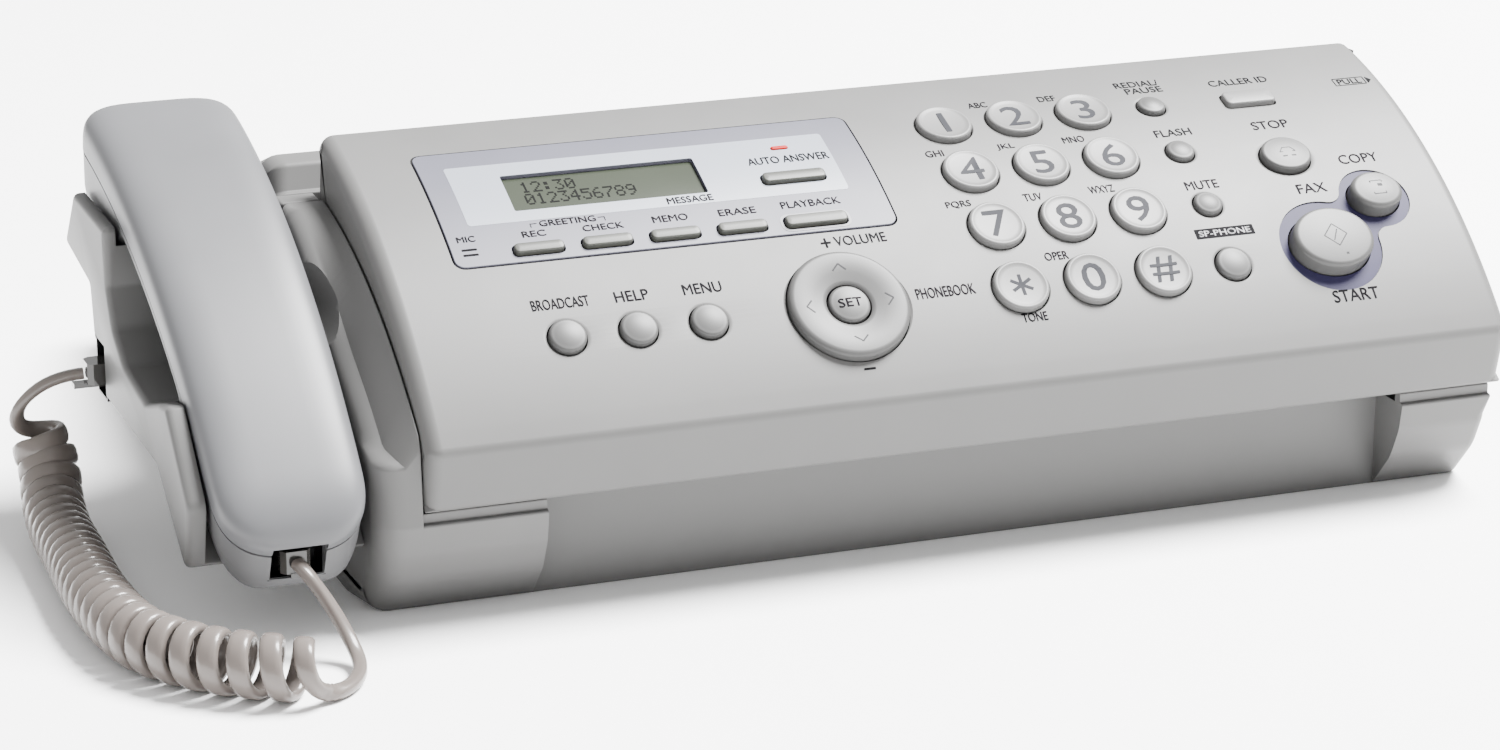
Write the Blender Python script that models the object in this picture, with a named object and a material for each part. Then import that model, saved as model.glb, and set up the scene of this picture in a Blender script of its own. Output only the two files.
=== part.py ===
"""A plain-paper fax machine with a corded handset, built as separate named pieces.

Frame: +X to the user's right, +Y to the back, +Z up. The origin is under the middle of the machine, on
the surface that it stands on. Lengths below are millimetres, turned into metres where a mesh is made.
"""

import math

import bmesh
import bpy
from mathutils import Matrix, Vector

MM = 0.001
GAP = 0.4
WALL = 2.5

# Overall case
LEFT_OF_CRADLE = -183.5
LEFT_OF_BODY = -137.0
LEFT_OF_COVER = -124.6
RIGHT_OF_BODY = 181.0
RIGHT_OF_COVER = 183.5
FRONT = -137.0
REAR = 137.0

# The operation panel is part of a cylinder whose axis lies along X. Angles lean forward from the top.
PANEL_RADIUS = 176.7
PANEL_AXIS_Y = -2.1
PANEL_AXIS_Z = -66.6
PANEL_BACK_ANGLE = 11.7
PANEL_FRONT_ANGLE = 49.8
PANEL_STEPS = 10
LIP = (-132.8, 30.6)
COVER_HINGE = (-41.0, 100.0)

# Keypad grid: columns along X, rows as angles round the panel
KEY_COLUMNS = (45.4, 66.4, 87.4)
KEY_ROWS = (20.35, 27.05, 33.75, 40.45)
KEY_RADIUS = 7.75
KEY_HEIGHT = 1.7
KEY_HOLE_GAP = 0.4
KEY_DEPTH = 4.2
KEY_WALL = 0.9
SIDE_KEYS_X = 108.4

# Display bezel
BEZEL_X = (-104.7, 19.1)
BEZEL_ANGLES = (17.2, 32.45)
WINDOW_X = (-83.3, -29.4)
WINDOW_ANGLES = (21.5, 26.3)

# Front of the base: corner blocks with a paper recess between them
RECESS_X = (-91.9, 153.5)
RECESS_Y = -117.5
BLOCK_PROFILE = ((-117.5, 0.0), (-127.0, 10.6), (-130.6, 18.6), (-132.4, 24.0), (-132.6, 27.4))

# Base shoulder between the cover and the handset: an arc over the same width as the panel
SHOULDER_RADIUS = 162.1
SHOULDER_AXIS = (-22.7, -71.0)
SHOULDER_BACK_Y = -43.6

# Rear deck
PARTING_FRONT = (-36.0, 82.0)
PARTING_REAR = (137.0, 30.0)
BACK_COVER_HINGE = (137.0, 30.2)

# Handset
HANDSET_X = -158.6
HANDSET_START = (12.0, 98.0)
HANDSET_SLOPE = math.radians(6.0)
HANDSET_CURVE = math.radians(0.242)
HANDSET_LENGTH = 168.0
HANDSET_HALF_REAR = 21.0
HANDSET_HALF_FRONT = 17.8
CAPSULE_DISTANCE = 28.0
LIFT_LEAN = math.radians(22)
HANDSET_LIFT = Vector((0.0, -math.sin(LIFT_LEAN), math.cos(LIFT_LEAN)))

# Cord
TAIL_RADIUS = 1.7
COIL_RADIUS = 8.4

materials = {}


def material(name, colour, roughness=0.5, metallic=0.0):
    if name not in materials:
        made = bpy.data.materials.new(name)
        made.use_nodes = True
        shader = made.node_tree.nodes["Principled BSDF"]
        shader.inputs["Base Color"].default_value = (*colour, 1.0)
        shader.inputs["Roughness"].default_value = roughness
        shader.inputs["Metallic"].default_value = metallic
        materials[name] = made
    return materials[name]


def casing():
    return material("casing", (0.55, 0.55, 0.54), 0.45)


def key_plastic():
    return material("key_plastic", (0.36, 0.37, 0.35), 0.4)


def rubber():
    return material("black_rubber", (0.03, 0.03, 0.03), 0.8)


def steel():
    return material("steel", (0.6, 0.6, 0.62), 0.3, 1.0)


def gear_plastic():
    return material("gear_plastic", (0.75, 0.74, 0.7), 0.5)


def circuit_board():
    return material("circuit_board", (0.12, 0.3, 0.16), 0.6)


def cord_plastic():
    return material("cord_plastic", (0.36, 0.32, 0.29), 0.3)


def add_object(name, bm, finish, origin=(0, 0, 0), sharp=35):
    """Makes one object from a bmesh in millimetres, with its origin at the given point."""
    bmesh.ops.recalc_face_normals(bm, faces=bm.faces)
    bmesh.ops.transform(bm, matrix=Matrix.Translation(-Vector(origin)), verts=bm.verts)
    bmesh.ops.scale(bm, vec=(MM, MM, MM), verts=bm.verts)
    mesh = bpy.data.meshes.new(name)
    bm.to_mesh(mesh)
    bm.free()
    mesh.shade_smooth()
    mesh.set_sharp_from_angle(angle=math.radians(sharp))
    made = bpy.data.objects.new(name, mesh)
    made.location = Vector(origin) * MM
    if finish is None:
        made.hide_render = True
        made.display_type = "WIRE"
    else:
        mesh.materials.append(finish)
    bpy.context.scene.collection.objects.link(made)
    return made


def cut(target, cutters, operation="DIFFERENCE"):
    for cutter in cutters:
        change = target.modifiers.new(cutter.name, "BOOLEAN")
        change.operation = operation
        change.solver = "EXACT"
        change.object = cutter
    return target


def prism(profile, x_from, x_to, bm=None):
    """An outline in Y and Z, drawn along X."""
    bm = bm or bmesh.new()
    near = [bm.verts.new((x_from, y, z)) for y, z in profile]
    far = [bm.verts.new((x_to, y, z)) for y, z in profile]
    bm.faces.new(near)
    bm.faces.new(reversed(far))
    for index in range(len(profile)):
        following = (index + 1) % len(profile)
        bm.faces.new((near[index], far[index], far[following], near[following]))
    return bm


def box(x, y, z, bm=None):
    return prism(((y[0], z[0]), (y[1], z[0]), (y[1], z[1]), (y[0], z[1])), x[0], x[1], bm)


def arc_point(radius, degrees):
    lean = math.radians(degrees)
    return (PANEL_AXIS_Y - radius * math.sin(lean), PANEL_AXIS_Z + radius * math.cos(lean))


def panel_arc(radius, first, last, steps=PANEL_STEPS):
    return [arc_point(radius, first + (last - first) * step / steps) for step in range(steps + 1)]


def panel_matrix(x, degrees, radius=PANEL_RADIUS):
    """Places local X along X, local Y up the panel and local Z along the panel's outward normal."""
    y, z = arc_point(radius, degrees)
    return Matrix.Translation((x, y, z)) @ Matrix.Rotation(math.radians(degrees), 4, "X")


def disc_stack(rings, sides=16, squash=1.0, bm=None, matrix=None):
    """Stacks rings of (radius, height) into a closed turned solid, oval where squash isn't 1."""
    bm = bm or bmesh.new()
    loops = []
    for radius, height in rings:
        loops.append([])
        for side in range(sides):
            turn = 2 * math.pi * side / sides
            point = Vector((radius * math.cos(turn), squash * radius * math.sin(turn), height))
            loops[-1].append(bm.verts.new(matrix @ point if matrix else point))
    bm.faces.new(reversed(loops[0]))
    bm.faces.new(loops[-1])
    for lower, upper in zip(loops, loops[1:]):
        for side in range(sides):
            other = (side + 1) % sides
            bm.faces.new((lower[side], lower[other], upper[other], upper[side]))
    return bm


def rounded_rectangle(half_x, half_y, corner, steps=3):
    points = []
    for quarter, (sign_x, sign_y) in enumerate(((1, 1), (-1, 1), (-1, -1), (1, -1))):
        for step in range(steps + 1):
            turn = math.radians(90 * quarter + 90 * step / steps)
            centre = (sign_x * (half_x - corner), sign_y * (half_y - corner))
            points.append((centre[0] + corner * math.cos(turn), centre[1] + corner * math.sin(turn)))
    return points


def plate(outline, bottom, top, matrix, bm=None):
    """A flat outline in local X and Y, given a thickness and placed by a matrix."""
    bm = bm or bmesh.new()
    low = [bm.verts.new(matrix @ Vector((x, y, bottom))) for x, y in outline]
    high = [bm.verts.new(matrix @ Vector((x, y, top))) for x, y in outline]
    bm.faces.new(reversed(low))
    bm.faces.new(high)
    for index in range(len(outline)):
        following = (index + 1) % len(outline)
        bm.faces.new((low[index], low[following], high[following], high[index]))
    return bm


def turned_x(rings, centre, sides=20, bm=None):
    """A turned solid whose axis lies along X: rings are (x, radius), and centre is its (y, z)."""
    place = Matrix.Translation((0, *centre)) @ Matrix.Rotation(math.radians(90), 4, "Y")
    return disc_stack([(radius, x) for x, radius in rings], sides, 1.0, bm, place)


# Keys: name, X, angle, half width, half length, height over the panel, and whether it is a rectangle
def key_table():
    rows = []
    names = ("1", "2", "3", "4", "5", "6", "7", "8", "9", "star", "0", "hash")
    for index, name in enumerate(names):
        place = (KEY_COLUMNS[index % 3], KEY_ROWS[index // 3])
        rows.append((f"key_{name}", *place, KEY_RADIUS, KEY_RADIUS, KEY_HEIGHT, False))
    side_keys = (("redial", 4.0), ("flash", 4.0), ("mute", 4.0), ("speakerphone", 5.0))
    for (name, radius), angle in zip(side_keys, KEY_ROWS):
        rows.append((f"key_{name}", SIDE_KEYS_X, angle, radius, radius, 1.4, False))
    for name, x in (("broadcast", -81.2), ("help", -61.9), ("menu", -42.6)):
        rows.append((f"key_{name}", x, KEY_ROWS[3], 5.0, 5.0, 1.6, False))
    rows.append(("key_caller_id", 138.0, 20.7, 7.6, 3.0, 1.4, True))
    rows.append(("key_stop", 138.2, 29.0, 7.3, 6.4, 2.4, False))
    rows.append(("key_copy", 157.8, 34.9, 7.6, 6.4, 4.6, False))
    rows.append(("key_start", 138.8, 39.5, 11.8, 9.8, 4.8, False))
    rows.append(("key_set", -3.8, KEY_ROWS[3], 5.7, 5.7, 1.8, False))
    return rows


def bezel_key_table():
    rows = []
    for index, name in enumerate(("record", "check", "memo", "erase")):
        rows.append((f"key_{name}", -81.0 + 18.8 * index, 31.0, 6.8, 1.7, 1.7, True))
    rows.append(("key_playback", -3.8, 31.0, 8.7, 1.9, 1.9, True))
    rows.append(("key_auto_answer", -4.4, 25.5, 8.9, 1.9, 1.7, True))
    return rows


def key_solid(half_x, half_y, top, matrix, rectangle):
    """Bar keys are solid, and round keys are caps that are open underneath."""
    if rectangle:
        outline = rounded_rectangle(half_x, half_y, min(half_y * 0.95, 1.6), 2)
        return plate(outline, -KEY_DEPTH, top, matrix)
    room = half_x - KEY_WALL
    rings = [(room, top - KEY_WALL), (room, -KEY_DEPTH), (half_x, -KEY_DEPTH)]
    rings += [(half_x, top - 0.6), (half_x - 0.7, top)]
    return disc_stack(rings, 16, half_y / half_x, None, matrix)


def make_keys(table):
    for name, x, degrees, half_x, half_y, top, rectangle in table:
        place = panel_matrix(x, degrees)
        bm = key_solid(half_x, half_y, top, place, rectangle)
        add_object(name, bm, key_plastic(), place.translation)


def key_holes(table, name):
    """One cutter that holds every hole of a table, each a little wider than its key."""
    bm = bmesh.new()
    for _, x, degrees, half_x, half_y, _, rectangle in table:
        wide = (half_x + KEY_HOLE_GAP, half_y + KEY_HOLE_GAP)
        place = panel_matrix(x, degrees)
        if rectangle:
            outline = rounded_rectangle(*wide, min(wide[1] * 0.95, 1.9), 2)
            plate(outline, -8, 8, place, bm)
        else:
            disc_stack([(wide[0], -8), (wide[0], 8)], 16, wide[1] / wide[0], bm, place)
    return add_object(name, bm, None)


NAVIGATOR = (-3.8, 40.45, 16.5, 6.2)


def make_navigator_key():
    x, degrees, outer, inner = NAVIGATOR
    place = panel_matrix(x, degrees)
    sides = 24
    rings = [(outer, -KEY_DEPTH), (outer, 0.9), (outer - 1.2, 1.6), (inner, 1.2), (inner, -KEY_DEPTH)]
    bm = bmesh.new()
    loops = []
    for radius, height in rings:
        turns = [2 * math.pi * side / sides for side in range(sides)]
        points = [Vector((radius * math.cos(turn), radius * math.sin(turn), height)) for turn in turns]
        loops.append([bm.verts.new(place @ point) for point in points])
    for lower, upper in zip(loops, loops[1:] + loops[:1]):
        for side in range(sides):
            other = (side + 1) % sides
            bm.faces.new((lower[side], lower[other], upper[other], upper[side]))
    add_object("key_navigator", bm, key_plastic(), place.translation)


def sector(radius_in, radius_out, first, last, x_from, x_to, steps=8):
    outline = panel_arc(radius_out, first, last, steps) + panel_arc(radius_in, last, first, steps)
    return prism(outline, x_from, x_to)


def make_front_cover():
    outer = panel_arc(PANEL_RADIUS, PANEL_BACK_ANGLE, PANEL_FRONT_ANGLE)
    outer += [LIP, (-118.0, 30.6), (-46.0, 84.0), (-37.9, 88.0)]
    bm = prism(outer, LEFT_OF_COVER, RIGHT_OF_COVER)
    inner = panel_arc(PANEL_RADIUS - WALL, 12.7, 48.0)
    inner += [(-130.3, 30.0), (-130.3, 20.0), (-40.4, 20.0)]
    hollow = add_object("cover_hollow", prism(inner, LEFT_OF_COVER + WALL, RIGHT_OF_COVER - 2.2), None)
    bezel_hole = sector(165, 182, BEZEL_ANGLES[0], BEZEL_ANGLES[1], *BEZEL_X)
    opening = add_object("cover_bezel_opening", bezel_hole, None)
    entrance = add_object("cover_document_entrance", box((-79, 141), (-44, -36), (97.2, 102.4)), None)
    holes = key_holes(key_table()[:-1], "cover_key_holes")
    x, degrees, outer_radius, _ = NAVIGATOR
    wide = outer_radius + GAP
    ring_hole = disc_stack([(wide, -8), (wide, 8)], 24, 1, None, panel_matrix(x, degrees))
    ring = add_object("cover_navigator_hole", ring_hole, None)
    cover = add_object("front_cover", bm, casing(), (0, *COVER_HINGE), 30)
    cut(cover, (hollow, opening, entrance, holes, ring))


def make_bezel():
    bm = sector(
        PANEL_RADIUS - 1.6,
        PANEL_RADIUS + 0.9,
        BEZEL_ANGLES[0] + 0.12,
        BEZEL_ANGLES[1] - 0.12,
        BEZEL_X[0] + GAP,
        BEZEL_X[1] - GAP,
    )
    window = sector(160, 185, WINDOW_ANGLES[0], WINDOW_ANGLES[1], *WINDOW_X)
    cutters = (add_object("bezel_window", window, None), key_holes(bezel_key_table(), "bezel_key_holes"))
    cut(add_object("display_bezel", bm, material("bezel", (0.45, 0.45, 0.52), 0.4)), cutters)


def make_panel_inside():
    window_middle = sum(WINDOW_ANGLES) / 2
    place = panel_matrix(sum(WINDOW_X) / 2, window_middle)
    lcd = plate(rounded_rectangle(31, 10, 0.5, 1), -6.4, -2.2, place)
    add_object("lcd_module", lcd, material("lcd", (0.25, 0.3, 0.22), 0.2))
    board_angle = (PANEL_BACK_ANGLE + PANEL_FRONT_ANGLE) / 2
    outline = [(-110, -46), (170, -46), (170, 35), (-110, 35)]
    board = plate(outline, -14.0, -12.4, panel_matrix(0, board_angle))
    add_object("panel_board", board, circuit_board())


def shoulder_z(y):
    return SHOULDER_AXIS[1] + math.sqrt(SHOULDER_RADIUS**2 - (y - SHOULDER_AXIS[0]) ** 2)


def shoulder_top(drop=0.0, steps=9):
    """The top line of the shoulder from back to front."""
    front_y = -131.6 + drop
    back_y = SHOULDER_BACK_Y - drop
    ys = [back_y + (front_y - back_y) * step / steps for step in range(steps + 1)]
    return [(y, shoulder_z(y) - drop) for y in ys]


def parting_z(y):
    (front_y, front_z), (rear_y, rear_z) = PARTING_FRONT, PARTING_REAR
    return front_z + (rear_z - front_z) * (y - front_y) / (rear_y - front_y)


def make_base():
    block = list(BLOCK_PROFILE)
    shoulder = block[:-1] + [(-132.6, 27.4)] + list(reversed(shoulder_top()))
    shoulder += [(SHOULDER_BACK_Y, 80.0), PARTING_FRONT, PARTING_REAR, (REAR, 0.0)]
    bm = prism(shoulder, LEFT_OF_BODY, LEFT_OF_COVER - GAP)
    under = block + [(-131.0, 27.4), (-131.0, 30.2), (-127.6, 30.2), (-127.0, 46.0)]
    under += [arc_point(170.0, 44 - 6 * step) for step in range(4)]
    under += [(-58.0, 84.0), (-42.0, 80.0), PARTING_FRONT, PARTING_REAR, (REAR, 0.0)]
    right_part = add_object("base_right_part", prism(under, LEFT_OF_COVER - 1.0, RIGHT_OF_BODY), None)

    hollow_left = [(-115.0, -1.0), (-115.0, 8.0), (-128.0, 20.0), (-130.1, 27.4)]
    hollow_left += list(reversed(shoulder_top(WALL)))
    hollow_left += [(-46.1, 76.0), (-36.0, 74.0), (REAR - WALL, 20.0), (REAR - WALL, -1.0)]
    left = add_object("base_hollow_left", prism(hollow_left, LEFT_OF_BODY + WALL, -127.5), None)
    right_hollow = [(-115.0, -1.0), (-115.0, 120.0), (REAR - WALL, 120.0), (REAR - WALL, -1.0)]
    right = add_object("base_hollow_right", prism(right_hollow, -122.5, RIGHT_OF_BODY - WALL), None)
    recess_outline = [(-140.0, -1.0), (RECESS_Y, -1.0), (RECESS_Y, 26.0), (RECESS_Y, 40.0), (-140.0, 40.0)]
    recess = add_object("base_recess", prism(recess_outline, *RECESS_X), None)
    mouth = add_object("base_paper_mouth", box((RECESS_X[0], RECESS_X[1]), (-120, -110), (26.0, 60)), None)
    corner = [(-114.0, -1.0), (-117.0, 3.0), (-125.5, 12.4), (-129.6, 22.0), (-129.6, 24.6), (-114.0, 24.6)]
    corners = prism(corner, -122.5, RECESS_X[0] - WALL)
    prism(corner, RECESS_X[1] + WALL, RIGHT_OF_BODY - WALL, corners)
    pockets = add_object("base_block_hollows", corners, None)
    front_room = box((-122.5, RIGHT_OF_BODY - WALL), (-128.2, -112.0), (27.2, 120))
    fronts = add_object("base_front_room", front_room, None)
    skirt = [(-150.0, 30.0), (-118.0, 30.0), (-46.0, 83.3), (-30.0, 90.0), (-30.0, 120.0), (-150.0, 120.0)]
    skirt_prism = prism(skirt, LEFT_OF_COVER - GAP, LEFT_OF_COVER + WALL + GAP)
    skirt_room = add_object("base_skirt_room", skirt_prism, None)
    scoop_mesh = bmesh.new()
    bmesh.ops.create_uvsphere(scoop_mesh, u_segments=20, v_segments=12, radius=1.0)
    bmesh.ops.scale(scoop_mesh, vec=(13.0, 25.0, 16.0), verts=scoop_mesh.verts)
    tilt = Matrix.Translation((-144.0, -88.0, 86.0)) @ Matrix.Rotation(math.radians(24), 4, "X")
    bmesh.ops.transform(scoop_mesh, matrix=tilt, verts=scoop_mesh.verts)
    scoop = add_object("base_thumb_scoop", scoop_mesh, None)
    shelf_box = box((RECESS_X[0] - 1, RECESS_X[1] + 1), (RECESS_Y + 0.5, -92.0), (23.4, 26.0))
    shelf = add_object("base_paper_shelf", shelf_box, None)
    base = add_object("base_cabinet", bm, casing())
    cut(base, (right_part,), "UNION")
    cut(base, (left, right, recess, mouth, pockets, fronts, skirt_room, scoop))
    cut(base, (shelf,), "UNION")


def make_bottom_plate():
    room = WALL + GAP
    sheet = box((-122.1, RIGHT_OF_BODY - room), (-114.6, REAR - room), (0.0, 1.6))
    add_object("bottom_plate", sheet, steel())


def back_cover_top():
    """The outside line of the rear deck, from its front strip to the back wall."""
    hump = [(-35.4, 90.0), (-33.4, 90.0), (-30.0, 97.0), (-20.0, 97.0), (-8.0, 92.6)]
    return hump + [(122.0, 47.0), (133.0, 41.0), (REAR, 33.0)]


def make_back_cover():
    lower_front = parting_z(-35.4) + GAP
    outer = back_cover_top() + [(REAR, PARTING_REAR[1] + GAP), (-35.4, lower_front)]
    bm = prism(outer, LEFT_OF_BODY, RIGHT_OF_BODY)
    inner = [(-32.9, 60.0), (-32.9, 87.4), (-31.0, 88.0), (-28.5, 94.4), (-20.4, 94.4), (-8.8, 90.0)]
    inner += [(121.2, 44.4), (131.4, 38.8), (134.5, 32.6), (134.5, 20.0)]
    hollow = add_object("back_cover_hollow", prism(inner, LEFT_OF_BODY + WALL, RIGHT_OF_BODY - WALL), None)
    slot = add_object("back_cover_paper_slot", box((-84, 146), (0.0, 16.0), (70, 100)), None)
    ear_box = box((LEFT_OF_BODY + 0.3, LEFT_OF_COVER - 1.2), (SHOULDER_BACK_Y + GAP, -34.0), (83.0, 89.7))
    ear = add_object("back_cover_ear", ear_box, None)
    cover = add_object("back_cover", bm, casing(), (0, *BACK_COVER_HINGE))
    cut(cover, (hollow, slot))
    cut(cover, (ear,), "UNION")


def handset_line(distance, offset):
    """A point (y, z) on the handset's seam line, moved square to it by an offset."""
    slope = HANDSET_SLOPE + HANDSET_CURVE * distance
    along = (math.sin(slope) - math.sin(HANDSET_SLOPE)) / HANDSET_CURVE
    down = (math.cos(HANDSET_SLOPE) - math.cos(slope)) / HANDSET_CURVE
    y = HANDSET_START[0] - along - offset * math.sin(slope)
    z = HANDSET_START[1] - down + offset * math.cos(slope)
    return (y, z)


def handset_half_width(distance):
    share = distance / HANDSET_LENGTH
    half = HANDSET_HALF_REAR + (HANDSET_HALF_FRONT - HANDSET_HALF_REAR) * share
    rear_corner = 8.0
    front_round = 20.0
    if distance < rear_corner:
        half -= rear_corner - math.sqrt(rear_corner**2 - (rear_corner - distance) ** 2)
    left = HANDSET_LENGTH - distance
    if left < front_round:
        half *= math.sqrt(max(0.45, 1 - (1 - left / front_round) ** 2))
    return half


def bump(distance, start, end, ramp):
    """Rises from 0 to 1 after start and falls back to 0 before end."""
    up = min(1.0, max(0.0, (distance - start) / ramp))
    down = min(1.0, max(0.0, (end - distance) / ramp))
    low = min(up, down)
    return low * low * (3 - 2 * low)


def handset_depth(distance):
    """How far the inner shell reaches below the seam: a deep ear end, a thin grip, a deep mouth end."""
    ear = 16.0 * bump(distance, -6.0, 56.0, 12.0)
    mouth = 10.0 * bump(distance, 112.0, 180.0, 16.0)
    return 4.5 + max(ear - 2.0, 0) + mouth


def handset_crown(distance):
    """How high the outer shell stands over the seam."""
    ends = min(1.0, (distance + 3.0) / 9.0) * min(1.0, (HANDSET_LENGTH - distance + 5.0) / 14.0)
    middle = 11.6 - 3.0 * distance / HANDSET_LENGTH
    return middle * math.sqrt(max(ends, 0.1))


EAR_SEAT = (-3, 0, 1.5, 4, 8, 18, 32, 40, 46, 54, 62)
MOUTH_SEAT = (100, 104, 110, 116, 128, 140, 149, 156, 165, 172)
HANDSET_STATIONS = (0, 1.5, 4, 8, 18, 32, 46, 54, 66, 84, 104, 116, 128, 140, 149, 156, 161, 165, 167, 168)
HOLLOW_STATIONS = (5, 10, 18, 32, 46, 54, 66, 84, 104, 116, 128, 140, 150)


def loft_handset(section, stations):
    bm = bmesh.new()
    loops = []
    for distance in stations:
        ring = []
        for x, offset in section(distance):
            y, z = handset_line(distance, offset)
            ring.append(bm.verts.new((HANDSET_X + x, y, z)))
        loops.append(ring)
    bm.faces.new(loops[0])
    bm.faces.new(reversed(loops[-1]))
    count = len(loops[0])
    for near, far in zip(loops, loops[1:]):
        for index in range(count):
            following = (index + 1) % count
            bm.faces.new((near[index], far[index], far[following], near[following]))
    return bm


def outer_section(shrink=0.0, base=0.15):
    def section(distance):
        half = handset_half_width(distance) - shrink
        crown = handset_crown(distance) - shrink
        right = [(half, base), (half - 0.8, crown - 3.6), (half - 3.8, crown)]
        return right + [(-x, offset) for x, offset in reversed(right)]

    return section


def inner_section(shrink=0.0, base=-0.15):
    def section(distance):
        half = handset_half_width(distance) - 0.6 - shrink
        depth = handset_depth(distance) - shrink
        left = [(-half, base), (1.0 - half, 2.6 - depth), (4.0 - half, -depth)]
        return [(half, base)] + left + [(-x, offset) for x, offset in reversed(left[1:])]

    return section


def make_handset():
    outer = loft_handset(outer_section(), HANDSET_STATIONS)
    outer_room = loft_handset(outer_section(2.2, -1.0), HOLLOW_STATIONS)
    outer_hollow = add_object("handset_outer_hollow", outer_room, None)
    origin = (HANDSET_X, *handset_line(HANDSET_LENGTH / 2, 0))
    finish = material("handset", (0.5, 0.51, 0.54), 0.35)
    outer_shell = add_object("handset_outer_shell", outer, finish, origin)
    cut(outer_shell, (outer_hollow,))
    inner = loft_handset(inner_section(), HANDSET_STATIONS)
    inner_room = loft_handset(inner_section(2.1, 1.0), HOLLOW_STATIONS)
    inner_hollow = add_object("handset_inner_hollow", inner_room, None)
    opening = box((HANDSET_X - 7.2, HANDSET_X + 7.2), (-141.5, -123.4), (18.2, 27.8))
    socket = add_object("handset_socket", opening, None)
    inner_shell = add_object("handset_inner_shell", inner, finish, origin)
    cut(inner_shell, (inner_hollow, socket))
    y, z = handset_line(CAPSULE_DISTANCE, -4.0)
    slope = HANDSET_SLOPE + HANDSET_CURVE * CAPSULE_DISTANCE
    place = Matrix.Translation((HANDSET_X, y, z)) @ Matrix.Rotation(slope, 4, "X")
    rings = [(14.0, -6.0), (15.5, -5.0), (15.5, -1.0), (8.0, 2.0)]
    capsule = disc_stack(rings, 20, 1, None, place)
    add_object("receiver_capsule", capsule, material("capsule", (0.1, 0.1, 0.1), 0.5), origin)


def make_cradle():
    outline = [(-1.0, 86.4), (13.3, 69.0), (-17.2, 64.8), (-19.6, 52.4), (-29.9, 37.2), (-90.1, 36.8)]
    outline += [(-119.2, 19.6), (-124.1, 37.0), (-103.8, 56.8), (-95.4, 55.3), (-80.0, 50.6)]
    outline += [(-56.0, 53.0), (-44.0, 60.0), (-38.4, 70.0), (-38.3, 86.0)]
    bm = prism(outline, LEFT_OF_CRADLE, LEFT_OF_BODY - GAP)
    clearance = 0.8
    seat = [handset_line(d, -handset_depth(d) - clearance) for d in EAR_SEAT]
    seat = [(seat[0][0], 120.0)] + seat + [(seat[-1][0] - 20.0, 120.0)]
    seat_x = (HANDSET_X - HANDSET_HALF_REAR - clearance, LEFT_OF_BODY + 1)
    rear_seat = add_object("cradle_ear_seat", prism(seat, *seat_x), None)
    mouth = [handset_line(d, -handset_depth(d) - clearance) for d in MOUTH_SEAT]
    lift = HANDSET_LIFT * 60
    mouth = mouth + [(mouth[-1][0] + lift.y - 20, mouth[-1][1] + lift.z)]
    mouth += [(mouth[0][0] + lift.y + 12, mouth[0][1] + lift.z)]
    front_seat = add_object("cradle_mouth_seat", prism(mouth, HANDSET_X - 19.4, LEFT_OF_BODY + 1), None)
    jack = add_object("cradle_jack", box((-190, -171), (-33.0, -21.6), (38.6, 48.8)), None)
    plunger_y, plunger_z = handset_line(30, -handset_depth(30) - clearance)
    shaft = disc_stack([(3.4, -16), (3.4, 4)], 12, 1, None, lift_matrix(plunger_y, plunger_z))
    hook_hole = add_object("cradle_hook_hole", shaft, None)
    cradle = add_object("handset_cradle", bm, casing())
    cut(cradle, (rear_seat, front_seat, jack, hook_hole))
    rings = [(2.9, -13.0), (2.9, -0.9), (2.0, 0.0)]
    plunger = disc_stack(rings, 12, 1, None, lift_matrix(plunger_y, plunger_z))
    add_object("hook_switch", plunger, key_plastic(), (HANDSET_X, plunger_y, plunger_z))


def lift_matrix(y, z):
    """Places local Z along the way in which the handset lifts off."""
    return Matrix.Translation((HANDSET_X, y, z)) @ Matrix.Rotation(LIFT_LEAN, 4, "X")


# Turned pieces: (x, radius) rings of each, from left to right
FEED_ROLLER = [(-84, 2), (-79, 2), (-79, 6), (141, 6), (141, 2)]
FEED_ROLLER += [(150, 2), (150, 6.5), (155, 6.5), (155, 2), (160, 2)]
PLATEN = [(-86, 3), (-81, 3), (-81, 8), (143, 8), (143, 3)]
PLATEN += [(158, 3), (158, 10), (164, 10), (164, 3), (170, 3)]
PICKUP = [(-20, 3), (0, 3), (0, 12), (60, 12), (60, 3)]
PICKUP += [(158, 3), (158, 12), (163, 12), (163, 3), (170, 3)]
MOTOR = ((118, 6), (120, 6), (120, 18), (141, 18), (141, 5), (147.5, 5))
PINION = ((148, 2), (157.6, 2), (157.6, 4.5), (164.4, 4.5), (164.4, 2), (166, 2))
IDLER = ((155, 3), (158, 3), (158, 19), (163.6, 19), (163.6, 3), (166, 3))
MOTOR_CENTRE = (-26.7, 28.0)
IDLER_CENTRE = (-50.5, 28.0)


def spool_rings(radius):
    """A film roll on its core, with a drive gear at the right."""
    roll = [(-96, 4), (-82, 4), (-82, radius), (144, radius), (144, 4)]
    return roll + [(150, 4), (150, 9), (155, 9), (155, 4), (160, 4)]


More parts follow.
